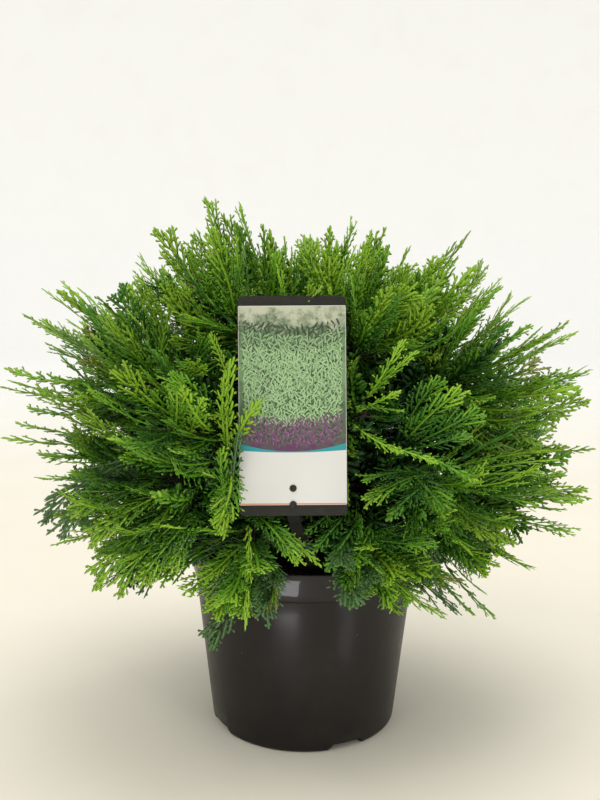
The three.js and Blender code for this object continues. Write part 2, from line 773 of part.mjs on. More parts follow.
add("pot", potSolid(), material(COLOURS.pot, 0.45));
add("potting_soil", soilSolid(labelStemSolid(frame, GAP)), material(COLOURS.soil, 1));
add("trunk", trunkSolid(), bark);
const clear = keptClear(frame);
growCrown(frame, clear).forEach((mass, i, masses) => {
  if (mass.ring.count > 1) add(`bough_${mass.label}`, boughSolid(mass, trunkRoom), bark);
  const green = COLOURS.foliage[i % COLOURS.foliage.length];
  add(`foliage_${mass.label}`, massSolid(masses, i, frame, clear), material(green, 0.6));
});
add("label_holder", labelHolderSolid(frame), material(COLOURS.holder, 0.5));
add("label_card", labelCardSolid(frame), material(COLOURS.card, 0.35));

export default plant;
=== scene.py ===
# A globosa lawson cypress in a black nursery pot, with a picture label at its front. Every piece is
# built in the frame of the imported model: metres, +Z up, -Y the front, the origin under the pot's foot.

import math

import bmesh
import bpy
import numpy as np
from bpy.props import FloatProperty, FloatVectorProperty, IntProperty, PointerProperty
from mathutils import Matrix, Vector, noise


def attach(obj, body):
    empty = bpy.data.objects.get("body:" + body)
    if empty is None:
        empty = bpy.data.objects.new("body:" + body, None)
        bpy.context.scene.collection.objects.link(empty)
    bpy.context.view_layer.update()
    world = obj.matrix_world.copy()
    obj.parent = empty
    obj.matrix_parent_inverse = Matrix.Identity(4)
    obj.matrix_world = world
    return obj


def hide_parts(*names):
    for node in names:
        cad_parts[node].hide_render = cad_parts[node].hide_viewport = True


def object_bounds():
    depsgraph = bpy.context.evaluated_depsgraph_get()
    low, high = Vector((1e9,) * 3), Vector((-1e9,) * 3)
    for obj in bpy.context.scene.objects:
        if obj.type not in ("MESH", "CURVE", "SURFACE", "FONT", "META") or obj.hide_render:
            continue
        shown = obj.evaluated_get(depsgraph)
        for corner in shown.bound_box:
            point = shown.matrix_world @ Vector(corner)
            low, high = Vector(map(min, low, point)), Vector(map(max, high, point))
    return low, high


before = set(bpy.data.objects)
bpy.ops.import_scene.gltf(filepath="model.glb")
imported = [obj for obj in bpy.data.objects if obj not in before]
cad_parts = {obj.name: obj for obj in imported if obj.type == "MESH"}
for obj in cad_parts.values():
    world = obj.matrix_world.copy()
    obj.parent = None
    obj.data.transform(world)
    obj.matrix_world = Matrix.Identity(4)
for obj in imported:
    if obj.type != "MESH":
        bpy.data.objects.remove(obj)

bl_info = {
    "name": "Potted globosa lawson cypress",
    "version": (1, 0, 0),
    "blender": (4, 5, 0),
    "location": "View3D > Sidebar > Cypress",
    "description": "Builds a dwarf cypress with flat leaf sprays, its pot, its soil and its label",
    "category": "Add Mesh",
}

CAD_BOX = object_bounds()
BODY = "root"
MM = 0.001
UP = np.array([0.0, 0.0, 1.0])


# Colours, from hex as a monitor shows them.

def linear(colour):
    """A hex colour such as "#4f7d2b" as linear red, green and blue."""
    parts = [int(colour[i:i + 2], 16) / 255 for i in (1, 3, 5)]
    return [c / 12.92 if c <= 0.04045 else ((c + 0.055) / 1.055) ** 2.4 for c in parts]


def colour_setting(name, description, colour):
    return FloatVectorProperty(
        name=name, description=description, default=linear(colour), min=0, max=1, subtype="COLOR"
    )


def number_setting(name, description, value, unit="NONE"):
    return FloatProperty(name=name, description=description, default=value, min=0, unit=unit)


def length_setting(name, description, metres):
    return number_setting(name, description, metres, "LENGTH")


def power_setting(name, description, watts):
    return number_setting(name, description, watts, "POWER")


def count_setting(name, description, number, least=0):
    return IntProperty(name=name, description=description, default=number, min=least)


# What a user can change.

class PotSettings(bpy.types.PropertyGroup):
    height: length_setting("Height", "From the ground to the rim", 0.139)
    foot_radius: length_setting("Foot radius", "Outside of the foot", 0.0693)
    rim_radius: length_setting("Rim radius", "Outside of the band at the top", 0.0864)
    wall: length_setting("Wall", "Thickness of the moulded wall", 0.0017)
    band_height: length_setting("Band height", "Height of the stiff band round the top", 0.021)
    band_step: length_setting("Band step", "How far the band stands proud of the wall", 0.0016)
    colour: colour_setting("Plastic", "Colour of the pot's plastic", "#151110")
    dust_colour: colour_setting("Dust", "Colour of the film of dry dust", "#5b544b")


class SoilSettings(bpy.types.PropertyGroup):
    top: length_setting("Top", "Height of the soil round the trunk", 0.1245)
    crumb: length_setting("Crumb", "Size of a crumb of compost", 0.0021)
    density: number_setting("Density", "Crumbs on a square metre", 190000)
    colour: colour_setting("Compost", "Colour of moist compost", "#2c2019")
    crumb_colour: colour_setting("Crumbs", "Colour of the lighter crumbs", "#4a3626")


class WoodSettings(bpy.types.PropertyGroup):
    relief: length_setting("Relief", "Depth of the furrows in the trunk's bark", 0.0009)
    twig_radius: length_setting("Twig radius", "Radius of a twig where it leaves its stem", 0.0011)
    bark_colour: colour_setting("Bark", "Colour of the bark's ridges", "#57402f")
    furrow_colour: colour_setting("Furrows", "Colour in the furrows", "#271b15")
    twig_colour: colour_setting("Twigs", "Colour of the young twigs", "#343c1c")


class FoliageSettings(bpy.types.PropertyGroup):
    seed: count_setting("Seed", "Another seed gives another plant", 11)
    between: count_setting("Sprays between", "Branchlets set between the main ones", 240)
    inner: count_setting("Inner sprays", "Branchlets deeper in the crown", 280)
    core: count_setting("Core sprays", "Branchlets round the trunk", 540)
    drooping: count_setting("Drooping sprays", "More branchlets beside each low shoot", 4)
    tufts: count_setting("Tufts", "Places where the branchlets gather", 62, 1)
    spray_length: length_setting("Spray length", "Length of a flat spray", 0.078)
    spray_half: length_setting("Spray half width", "Half the width of a flat spray", 0.014)
    fresh: colour_setting("Fresh", "Newest growth, yellow green", "#86b026")
    bright: colour_setting("Bright", "Sprays in full light", "#62961a")
    middle: colour_setting("Middle", "Most of the sprays", "#467a16")
    # The deep and shade greens also serve as painted shade low, inside the crown and in its hollows.
    deep: colour_setting("Deep", "Older sprays", "#2d5e10")
    shade: colour_setting("Shade", "Sprays deep in the crown", "#1b420d")
    blue: colour_setting("Blue", "The bluish underside of a spray", "#50723f")
    tip: colour_setting("Tips", "Hardened tips, olive", "#868c36")


class LabelSettings(bpy.types.PropertyGroup):
    holder_colour: colour_setting("Holder", "Colour of the black holder", "#26241f")
    card_colour: colour_setting("Card", "Colour of the card", "#d2d0ca")
    arc_colour: colour_setting("Arc", "Colour of the curved band under the picture", "#1f8f97")
    sky_colour: colour_setting("Picture top", "Pale colour at the top of the picture", "#b4b69c")
    leaf_colour: colour_setting("Picture leaves", "Sage green of the printed leaves", "#8caa78")
    dark_leaf_colour: colour_setting("Picture dark leaves", "Deeper green of other leaves", "#47603d")
    flower_colour: colour_setting("Picture flowers", "Plum colour at the picture's foot", "#74436c")
    foot_colour: colour_setting("Foot line", "Thin line along the card's lower edge", "#c4825a")


class StageSettings(bpy.types.PropertyGroup):
    floor_colour: colour_setting("Floor", "Colour of the floor", "#e3dccb")
    wall_colour: colour_setting("Wall", "Colour of the wall round the floor", "#fbfaf6")
    key_power: power_setting("Key power", "Power of the large soft light", 9)
    top_power: power_setting("Top power", "Power of the light overhead", 17)
    fill_power: power_setting("Fill power", "Power of the low strip in front", 3)
    streak_power: power_setting("Streak power", "Power of the low light beside the pot", 0.05)
    glint_power: power_setting("Glint power", "Power of the low light before the pot", 0.38)
    sky_strength: number_setting("Sky strength", "Light from all round", 0.85)


SETTINGS = {
    "cypress_pot": PotSettings,
    "cypress_soil": SoilSettings,
    "cypress_wood": WoodSettings,
    "cypress_foliage": FoliageSettings,
    "cypress_label": LabelSettings,
    "cypress_stage": StageSettings,
}


# The camera stood 73 cm in front of the pot and looked a little down on it.

CAMERA = {
    "place": (-0.004, -0.731, 0.369),
    "down": 9.71,
    "roll": 0.38,
    "frame_height": 800,
    "focal_pixels": 1001,
    "sensor_height": 32,
}


# Sizes of the plant's frame in millimetres, the same as in the solids.

GAP = 0.3
CENTRE = np.array([0.0, 0.0, 205.0])
SOIL_TOP = 124.5
TRUNK = {
    "tip": np.array([1.5, -1.0, 226.0]),
    "lean": np.array([2.2, -1.2, 0.0]),
    "radius": 7.4,
    "tip_radius": 3.4,
    "flare_radius": 12,
    "flare_height": 9,
}
BOUGH = {"radius": 2.7, "tip_radius": 1.9, "arch": 0.45, "share": 0.5}
STEM = {"radius": 1.9, "tip_radius": 1.0, "end": 0.66, "shortest": 16}
PROFILE = np.array([
    [-60, 100], [-38, 150], [-28, 170], [-14, 192], [0, 208], [15, 216], [27, 213],
    [40, 199], [52, 188], [65, 179], [78, 171], [90, 167],
], dtype=float)
CROWN = {"lopsided": 0.06, "lumps": 0.035, "flat_back": 0.2}
HOLLOW = {"azimuth": -86, "elevation": 12, "depth": 0.4, "width": 31, "height": 34}

# Rings of foliage masses: elevation, count, first azimuth, where the boughs leave the trunk, their reach.
RINGS = {
    "top": (90, 1, 0, 226, 21.3),
    "upper": (57, 5, -54, 212, 60),
    "shoulder": (27, 7, -64.3, 197, 62),
    "side": (-2, 7, -90, 181, 62),
    "skirt": (-27, 7, -64.3, 165, 60),
}

SPRAY = {
    "count": 240,
    "lowest": -36,
    "inner_lowest": -42,
    "core_lowest": -52,
    "drooping_below": -28,
    "golden": 137.50776,
    "near_leader": 0.9945,
    "scatter": 5,
    "rise": 0.65,
    "short_reach": 110,
}

# The sorts of branchlet, in the order of their numbers, and the least and most that each has of the crown's
# reach.
LEADER, MAIN, BETWEEN, INNER, CORE = range(5)
REACH_LOW = np.array([1, 0.93, 0.8, 0.62, 0.4])
REACH_HIGH = np.array([1, 1.03, 0.98, 0.82, 0.62])

# Side sprays of a branchlet: how far behind its end spray each sits and how long it is, as shares of the end
# spray's length.
SIDE_SPRAYS = [(0.02, 0.82), (0.2, 0.74), (0.42, 0.66), (0.66, 0.55)]

# Single shoots that stand out of the globe: azimuth, elevation, reach, half width.
LEADERS = np.array([
    [172, 69, 200, 10], [180, 75, 184, 9], [170, 71, 180, 9], [-123, 74, 171, 10], [-52, 81, 169, 9],
    [-32, 70, 169, 10], [-31, 62, 170, 10], [-33, 77, 171, 9], [2, 54, 203, 5], [-10, 43, 182, 9],
    [4, 35, 196, 10], [-35, 66, 169, 9], [-57, 65, 172, 9], [-14, 49, 186, 8], [-21, 42, 190, 8],
    [-121, 71, 177, 8], [-104, 69, 171, 8], [-16, 32, 190, 6], [-9, 26, 216, 6], [-18, 17, 205, 7],
    [-16, 13, 192, 6], [0, 27, 216, 7], [-9, 18, 212, 9], [-5, 2, 213, 7], [-25, 4, 188, 7],
    [3, -9, 213, 9], [-8, -8, 207, 7], [-12, -14, 200, 9], [-22, -22, 180, 9], [-16, -38, 184, 8],
    [-177, 16, 230, 7], [-169, 14, 224, 6], [-172, 4, 221, 7], [-165, -3, 192, 9], [179, -15, 206, 12],
    [-170, -19, 190, 13], [-168, -32, 181, 13], [-139, -24, 165, 12], [-171, 33, 224, 7],
    [-177, 34, 214, 6], [-166, 35, 199, 6], [-174, 27, 228, 7], [174, 25, 218, 9], [-168, 38, 190, 10],
    [178, 49, 184, 10], [163, 52, 180, 9], [-116, -33, 157, 15], [-102, -31, 153, 14], [-124, -27, 152, 12],
    [-64, -29, 150, 15], [-46, -30, 168, 13], [90, 8, 162, 9], [84, 45, 160, 9], [-128, 12, 197, 8],
], dtype=float)

# How far the body of the crown reaches as seen from the front: the angle there, from the right, and the
# reach. Only the leaders stand out of it. Under the middle of the crown it sets no limit.
OUTLINE = np.array([
    [-180, 185], [-169, 187], [-163, 186], [-157, 170], [-149, 182], [-138, 155], [-128, 141], [-122, 150],
    [-116, 150], [-110, 158], [-107, 400], [-66, 400], [-60, 134], [-50, 136], [-39, 142], [-30, 150],
    [-22, 159], [-15, 175], [-9, 182], [2, 191], [13, 196], [23, 194], [31, 188], [39, 182], [46, 190],
    [52, 184], [57, 160], [70, 160], [81, 160], [90, 152], [102, 161], [112, 178], [120, 173], [131, 177],
    [144, 190], [151, 197], [160, 190], [168, 185], [180, 185],
], dtype=float)

# Dark gaps between the sprays at the front: azimuth, elevation, half width, half height, depth.
GAPS = np.array([
    [-56, 20, 12, 14, 0.36],
    [-42, 12, 9, 8, 0.3],
    [-132, 38, 9, 9, 0.3],
    [-118, -8, 8, 9, 0.3],
], dtype=float)

# Openings over the rim, the room round the label's stem and dark hollows, as seen from the front. Each is
# given from the crown's centre: left, right, low and high, and the depth in front of which no spray stands.
WINDOWS = np.array([
    [-13, 12, -116, -72, 0],
    [-82, -64, -90, -72, 0],
    [-13, -1, -72, -45, -50],
    [57, 100, 44, 74, -80],
    [60, 84, 0, 34, -80],
    [34, 58, -42, -8, -80],
], dtype=float)

LABEL = {
    "centre": (-8.8, -95.0, 256.4),
    "width": 70,
    "height": 142,
    "thickness": 1.6,
    "corner": 4,
    "lean_back": 9.7,
    "turn": 0.8,
    "card_height": 128.5,
    "card_bottom": 7,
    "card_thickness": 0.5,
    "peg_radius": 2.3,
    "peg_stand": 0.9,
    "peg_heights": (0.4, 10.8),
    "stem_width": 9,
    "stem_entry": (7, -76.5, 143),
    "stem_foot": (9, -71.5, 96),
    "clearance": 3.5,
    "margin": 6,
}


# Small helpers.

def chance(seed, index):
    """The same number from 0 to 1 for the same pair, as in the solids."""
    x = np.sin(seed * 12.9898 + np.asarray(index) * 78.233) * 43758.5453
    return x - np.floor(x)


def unit(vectors):
    return vectors / np.linalg.norm(vectors, axis=-1, keepdims=True)


def directions(azimuth, elevation):
    a, e = np.radians(azimuth), np.radians(elevation)
    return np.stack([np.cos(e) * np.cos(a), np.cos(e) * np.sin(a), np.sin(e) + 0 * a], axis=-1)


def angles(units):
    azimuth = np.degrees(np.arctan2(units[..., 1], units[..., 0]))
    return azimuth, np.degrees(np.arcsin(np.clip(units[..., 2], -1, 1)))


def add_object(name, data, materials=()):
    """Links a mesh, a light or a camera into the scene, and gives a mesh its materials."""
    added = bpy.data.objects.new(name, data)
    bpy.context.scene.collection.objects.link(added)
    for material in materials:
        data.materials.append(material)
    return added


def add_piece(name, mesh, materials, slot, *nodes):
    """Adds a piece that rides on the plant's body in place of the solids that it stands for."""
    piece = add_object(name, mesh, materials)
    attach(piece, BODY)
    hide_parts(*nodes)
    return piece


def evaluated_mesh(carrier, name):
    """The mesh of an object with its modifiers applied. The object itself goes."""
    evaluated = carrier.evaluated_get(bpy.context.evaluated_depsgraph_get())
    mesh = bpy.data.meshes.new_from_object(evaluated)
    mesh.name = name
    bpy.data.objects.remove(carrier)
    return mesh


def mesh_from_arrays(name, points, corners, sizes):
    """A smooth mesh of points in millimetres, the corners of all faces in a row, and each face's size."""
    mesh = bpy.data.meshes.new(name)
    mesh.vertices.add(len(points))
    mesh.vertices.foreach_set("co", (points * MM).ravel())
    mesh.loops.add(len(corners))
    mesh.loops.foreach_set("vertex_index", corners)
    mesh.polygons.add(len(sizes))
    mesh.polygons.foreach_set("loop_start", np.concatenate([[0], np.cumsum(sizes)[:-1]]))
    mesh.polygons.foreach_set("loop_total", sizes)
    mesh.polygons.foreach_set("use_smooth", np.ones(len(sizes), bool))
    mesh.update(calc_edges=True)
    mesh.validate()
    return mesh


def arc(x, y, radius, first, last, steps):
    """Points along a part of a circle, from one angle in degrees to another."""
    turns = [math.radians(first + (last - first) * k / steps) for k in range(steps + 1)]
    return [(x + radius * math.cos(turn), y + radius * math.sin(turn)) for turn in turns]


def revolve(name, profile, sides, adjust=None):
    """A smooth mesh of a profile in millimetres turned round Z. The profile starts on the axis. Where it ends
    there too, the mesh is closed. The function adjust may move each point up or down."""
    closed = profile[-1][0] == 0
    rings = profile[1:-1] if closed else profile[1:]
    points = [(0, 0, profile[0][1])]
    for radius, height in rings:
        for turn in [2 * math.pi * k / sides for k in range(sides)]:
            z = adjust(radius, height, turn) if adjust else height
            points.append((radius * math.cos(turn), radius * math.sin(turn), z))
    top = 1 + (len(rings) - 1) * sides
    faces = []
    for k in range(sides):
        after = (k + 1) % sides
        faces.append((0, 1 + after, 1 + k))
        for low in range(1, top, sides):
            high = low + sides
            faces.append((low + k, low + after, high + after, high + k))
        if closed:
            faces.append((top + k, top + after, len(points)))
    if closed:
        points.append((0, 0, profile[-1][1]))
    mesh = bpy.data.meshes.new(name)
    mesh.from_pydata([[c * MM for c in p] for p in points], [], faces)
    mesh.polygons.foreach_set("use_smooth", [True] * len(faces))
    mesh.update()
    return mesh


# Materials.

def feed(node, inputs):
    """Gives inputs of a node their values, or what feeds them: an output, or the first output of a node."""
    for key, value in inputs.items():
        if isinstance(value, bpy.types.Node):
            value = next(output for output in value.outputs if output.enabled)
        if isinstance(value, bpy.types.NodeSocket):
            node.id_data.links.new(value, node.inputs[key])
        else:
            node.inputs[key].default_value = value


def add_node(tree, kind, inputs=None, **settings):
    """Adds a node with settings of its own and with what its inputs take."""
    node = tree.nodes.new(kind)
    for name, value in settings.items():
        setattr(node, name, value)
    feed(node, inputs or {})
    return node


def new_material(name):
    """A material, its node tree, its shader, and the output that gives the place on the object."""
    material = bpy.data.materials.new(name)
    material.use_nodes = True
    tree = material.node_tree
    place = add_node(tree, "ShaderNodeTexCoord").outputs["Object"]
    return material, tree, tree.nodes["Principled BSDF"], place


def set_stops(ramp, stops):
    """Gives a colour ramp its places and colours, in rising order."""
    first, last = ramp.elements
    first.position, first.color = stops[0][0], with_alpha(stops[0][1])
    last.position, last.color = stops[-1][0], with_alpha(stops[-1][1])
    for place, colour in stops[1:-1]:
        ramp.elements.new(place).color = with_alpha(colour)


def with_alpha(colour):
    return (*colour, 1.0)


def scale_leaf_material(name, colour):
    """Waxy scale leaves: one plain green for each spray, a soft sheen, and a fine relief of leaf on leaf."""
    material, tree, shader, place = new_material(name)
    # Scale leaves sit about 1.6 mm apart along a strand.
    scales = add_node(tree, "ShaderNodeTexVoronoi", {"Vector": place, "Scale": 620})
    bump = add_node(tree, "ShaderNodeBump", {"Height": scales, "Strength": 0.6, "Distance": 0.0006})
    feed(shader, {
        "Base Color": with_alpha(colour), "Normal": bump, "Roughness": 0.42,
        "IOR": 1.42, "Specular IOR Level": 0.5,
    })
    return material


def bark_material(name, ridge, furrow, scale, depth):
    """Thin fibrous bark: lengthwise fibres, darker where they part, no gloss."""
    material, tree, shader, place = new_material(name)
    stretch = add_node(tree, "ShaderNodeMapping", {"Vector": place, "Scale": (1, 1, 0.18)})
    fibre = add_node(tree, "ShaderNodeTexNoise", {
        "Vector": stretch, "Scale": scale, "Detail": 6, "Roughness": 0.65,
    })
    ramp = add_node(tree, "ShaderNodeValToRGB", {"Fac": fibre})
    set_stops(ramp.color_ramp, [(0.36, furrow), (0.64, ridge)])
    bump = add_node(tree, "ShaderNodeBump", {"Height": fibre, "Strength": 0.8, "Distance": depth})
    feed(shader, {"Base Color": ramp, "Normal": bump, "Roughness": 0.85})
    return material


# The stage: a floor that sweeps up behind the plant, soft studio light, and the camera.

def studio_mesh():
    """A round floor, 2.4 m from its middle to where it bends up into a wall all round."""
    floor, bend, top = 2400, 800, 1700
    profile = [(0, 0), (600, 0), *arc(floor, bend, bend, -90, 0, 16), (floor + bend, top)]
    mesh = revolve("studio_floor", profile, 96)
    mesh.flip_normals()
    return mesh


def painted_board(floor_colour, wall_colour):
    """Matt painted board: a cream floor that turns nearly white up the wall, very faintly uneven."""
    material, tree, shader, place = new_material("painted_board")
    out = add_node(tree, "ShaderNodeVectorMath", {0: place}, operation="LENGTH")
    far = add_node(tree, "ShaderNodeMapRange", {
        "Value": out, "From Min": 0.4, "From Max": 2.2,
    }, interpolation_type="SMOOTHSTEP")
    cloud = add_node(tree, "ShaderNodeTexNoise", {"Vector": place, "Scale": 9, "Detail": 5})
    uneven = add_node(tree, "ShaderNodeMapRange", {"Value": cloud, "To Min": -0.12, "To Max": 0.12})
    share = add_node(tree, "ShaderNodeMath", {0: far, 1: uneven}, operation="ADD", use_clamp=True)
    mixed = add_node(tree, "ShaderNodeMix", {
        0: share, 6: with_alpha(floor_colour), 7: with_alpha(wall_colour),
    }, data_type="RGBA")
    feed(shader, {"Base Color": mixed, "Roughness": 0.8})
    return material


def area_light(name, place, target, size, power, colour):
    light = bpy.data.lights.new(name, "AREA")
    light.shape = "RECTANGLE"
    light.size, light.size_y = size
    light.energy, light.color = power, colour
    lamp = add_object(name, light)
    lamp.location = place
    lamp.rotation_euler = (Vector(target) - lamp.location).to_track_quat("-Z", "Y").to_euler()
    return lamp


def floor_light(name, place, size, turn, power):
    """A small light that lies on the floor in front, faces up and shows as a soft streak on the pot."""
    lamp = area_light(name, place, (*place[:2], 1), size, power, (0.96, 0.96, 1))
    lamp.rotation_euler = (math.pi, 0, math.radians(turn))
    lamp.visible_camera = False


def add_camera():
    data = bpy.data.cameras.new("camera")
    data.sensor_fit = "VERTICAL"
    data.sensor_height = CAMERA["sensor_height"]
    data.lens = CAMERA["focal_pixels"] / CAMERA["frame_height"] * CAMERA["sensor_height"]
    data.clip_start = 0.02
    data.dof.use_dof = False
    tilt = Matrix.Rotation(math.radians(90 - CAMERA["down"]), 4, "X")
    roll = Matrix.Rotation(math.radians(CAMERA["roll"]), 4, "Z")
    camera = add_object("camera", data)
    camera.matrix_world = Matrix.Translation(CAMERA["place"]) @ tilt @ roll
    bpy.context.scene.camera = camera


class StageOperator(bpy.types.Operator):
    """Adds the pale floor, the soft lights and the camera"""
    bl_idname = "cypress.add_stage"
    bl_label = "Stage"

    def execute(self, context):
        values = context.scene.cypress_stage
        board = painted_board(values.floor_colour, values.wall_colour)
        add_object("studio_floor", studio_mesh(), [board])
        area_light("key", (-1.0, -0.75, 1.8), (0, 0, 0.2), (1.2, 0.9), values.key_power, (1, 0.99, 0.97))
        area_light("top", (0.2, 0.1, 2.0), (0, 0, 0.2), (1.4, 1.4), values.top_power, (1, 1, 1))
        area_light("strip", (1.0, -1.2, 0.35), (0, 0, 0.1), (0.22, 0.8), values.fill_power, (0.95, 0.96, 1))
        floor_light("streak", (0.2, -0.205, 0.004), (0.24, 0.04), -32, values.streak_power)
        floor_light("glint", (-0.065, -0.295, 0.004), (0.085, 0.17), 0, values.glint_power)
        world = bpy.data.worlds.new("studio")
        world.use_nodes = True
        sky = {"Color": (0.98, 0.99, 1, 1), "Strength": values.sky_strength}
        feed(world.node_tree.nodes["Background"], sky)
        context.scene.world = world
        context.scene.view_settings.view_transform = "Standard"
        add_camera()
        return {"FINISHED"}


# The pot.

NOTCH = {"count": 4, "azimuth": -63, "width": 24, "height": 5, "blend": 0.015, "ring": 66, "inside": 40}
DRAIN = {"circle": 48, "radius": 5, "depth": 8, "middle": 5.5}


def pot_profile(values):
    """From the raised floor's underside, round the foot and up to the rim, and down inside to the floor."""
    top, foot, rim = values.height / MM, values.foot_radius / MM, values.rim_radius / MM
    wall, step = values.wall / MM, values.band_step / MM
    band = top - values.band_height / MM
    lift, base, heel, lip = 4.5, 2.0, 3.2, 1.1
    ring = foot - 6

    def side(z):
        return foot + (rim - step - foot) * z / top

    proud = side(band) + step
    line = [(0, lift), (ring - 1.5, lift), (ring, lift - 0.6), (ring + 0.8, 0.4), (ring + 1.4, 0)]
    line += arc(side(heel) - heel, heel, heel, -90, 0, 5)
    line += [(side(z), z) for z in np.linspace(heel * 1.6, band - 0.8, 12)]
    line += [(side(band) + 0.2, band - 0.1), (side(band) + step * 0.75, band + 0.45), (proud, band + 1.2)]
    line += [(proud + (rim - proud) * t, band + (top - lip - band) * t) for t in (0.35, 0.7)]
    line += arc(rim - lip, top - lip, lip, 0, 180, 6)
    line += [(rim - 2 * lip - 0.1, top - 4), (proud - wall, band + 1.5), (side(band) - wall, band - 1)]
    line += [(side(z) - wall, z) for z in np.linspace(band - 10, lift + base + 4, 8)]
    inside, floor = side(lift) - wall, lift + base
    line += [(inside - 1, floor + 0.8), (inside - 4, floor), (0, floor)]
    return line


def notch_lift(radius, height, turn):
    """The foot ring is lifted off the ground in four short stretches, which let water out."""
    if height >= NOTCH["height"] or radius < NOTCH["inside"]:
        return height
    between = 2 * math.pi / NOTCH["count"]
    off = (turn - math.radians(NOTCH["azimuth"]) + between / 2) % between - between / 2
    half = NOTCH["width"] / 2 / NOTCH["ring"] + 0.01
    share = min(1.0, max(0.0, (half - abs(off)) / NOTCH["blend"]))
    return max(height, NOTCH["height"] * share)


def moulded_plastic(name, colour, dust, coat=0.22, coat_roughness=0.2):
    """Injection-moulded polypropylene, black: a satin skin with faint flow lines, fine orange peel, small
    scuffs that catch the light, and a film of dry dust that is thicker low down."""
    material, tree, shader, place = new_material(name)
    # Flow lines run up the wall some 6 mm apart, orange peel has grains of about 1 mm.
    upright = add_node(tree, "ShaderNodeMapping", {"Vector": place, "Scale": (1, 1, 0.12)})
    flow = add_node(tree, "ShaderNodeTexNoise", {"Vector": upright, "Scale": 90, "Detail": 4})
    peel = add_node(tree, "ShaderNodeTexNoise", {"Vector": place, "Scale": 900, "Detail": 2})
    cloud = add_node(tree, "ShaderNodeTexNoise", {
        "Vector": place, "Scale": 22, "Detail": 6, "Roughness": 0.7,
    })
    height = add_node(tree, "ShaderNodeSeparateXYZ", {"Vector": place})
    low = add_node(tree, "ShaderNodeMapRange", {
        "Value": height.outputs["Z"], "From Min": 0, "From Max": 0.11, "To Min": 0.75, "To Max": 0.3,
    })
    film = add_node(tree, "ShaderNodeMapRange", {
        "Value": cloud, "From Min": 0.45, "From Max": 0.85, "To Min": 0.02, "To Max": 0.2,
    })
    amount = add_node(tree, "ShaderNodeMath", {0: film, 1: low}, operation="MULTIPLY")
    specks = add_node(tree, "ShaderNodeTexVoronoi", {"Vector": place, "Scale": 75})
    dot = add_node(tree, "ShaderNodeMath", {0: specks, 1: 0.035}, operation="LESS_THAN")
    total = add_node(tree, "ShaderNodeMath", {0: amount, 1: dot}, operation="MAXIMUM")
    mixed = add_node(tree, "ShaderNodeMix", {
        0: total, 6: with_alpha(colour), 7: with_alpha(dust),
    }, data_type="RGBA")
    rough = add_node(tree, "ShaderNodeMapRange", {
        "Value": cloud, "From Min": 0.3, "From Max": 0.7, "To Min": 0.35, "To Max": 0.52,
    })
    both = add_node(tree, "ShaderNodeMath", {0: flow, 1: peel}, operation="ADD")
    bump = add_node(tree, "ShaderNodeBump", {"Height": both, "Strength": 0.35, "Distance": 0.00025})
    feed(shader, {
        "Base Color": mixed, "Roughness": rough, "Normal": bump,
        "IOR": 1.49, "Specular IOR Level": 0.14, "Coat Weight": coat, "Coat Roughness": coat_roughness,
    })
    return material


def cut_drain_holes(mesh):
    """Opens the four holes round the floor and the one in its middle."""
    drill = bmesh.new()
    first, radius = NOTCH["azimuth"], DRAIN["radius"] * MM
    for x, y in [(0, 0), *arc(0, 0, DRAIN["circle"], first, first + 270, 3)]:
        place = Matrix.Translation(Vector((x, y, DRAIN["middle"])) * MM)
        bmesh.ops.create_cone(drill, cap_ends=True, segments=32, radius1=radius, radius2=radius,
                              depth=DRAIN["depth"] * MM, matrix=place)
    cutter = add_object("drill", bpy.data.meshes.new("drill"))
    drill.to_mesh(cutter.data)
    drill.free()
    pot = add_object("pot_uncut", mesh)
    cut = pot.modifiers.new("holes", "BOOLEAN")
    cut.operation, cut.solver, cut.object = "DIFFERENCE", "EXACT", cutter
    result = evaluated_mesh(pot, "nursery_pot")
    bpy.data.objects.remove(cutter)
    return result


class PotOperator(bpy.types.Operator):
    """Adds the nursery pot with its band, foot notches and drain holes"""
    bl_idname = "cypress.add_pot"
    bl_label = "Pot"

    def execute(self, context):
        values = context.scene.cypress_pot
        mesh = cut_drain_holes(revolve("pot_shell", pot_profile(values), 240, notch_lift))
        mesh.materials.clear()
        wall = moulded_plastic("moulded_black_polypropylene", values.colour, values.dust_colour)
        # Hands have wiped the band round the top, so it shines more than the wall.
        band = moulded_plastic("wiped_black_polypropylene", values.colour, values.dust_colour, 0.42, 0.07)
        add_piece("nursery_pot", mesh, [wall, band], "pot_black", "pot")
        for face in mesh.polygons:
            x, y, z = face.center
            outside = math.hypot(x, y) > values.rim_radius - 0.003
            face.material_index = int(outside and z > values.height - values.band_height)
        return {"FINISHED"}


# The soil: an uneven top under a scatter of crumbs.

def soil_mesh(values):
    """The compost fills the pot's inside. Its top is slightly mounded and uneven, but not at the wall."""
    top, rim, rows = values.top / MM, 80.6, 26
    line = [(0, 9.0), (66, 9.0), (68.5, 12.0), (79.5, 112.0), (rim, top - 2.5)]
    line += [(rim - rim * k / rows, top + 1.6 * math.sin(math.pi * k / 30)) for k in range(1, rows)]
    mesh = revolve("potting_soil", [*line, (0, top)], 96)
    for vertex in mesh.vertices:
        # Only the top is rough, and it grows smooth over the last 6 mm before the wall.
        if vertex.co.z > 0.118:
            rough = noise.noise(vertex.co * 220) * 0.8 + noise.noise(vertex.co * 70) * 1.1
            inward = (0.0815 - math.hypot(vertex.co.x, vertex.co.y)) / 0.006
            vertex.co.z += rough * MM * min(1.0, max(0.0, inward))
    mesh.update()
    return mesh


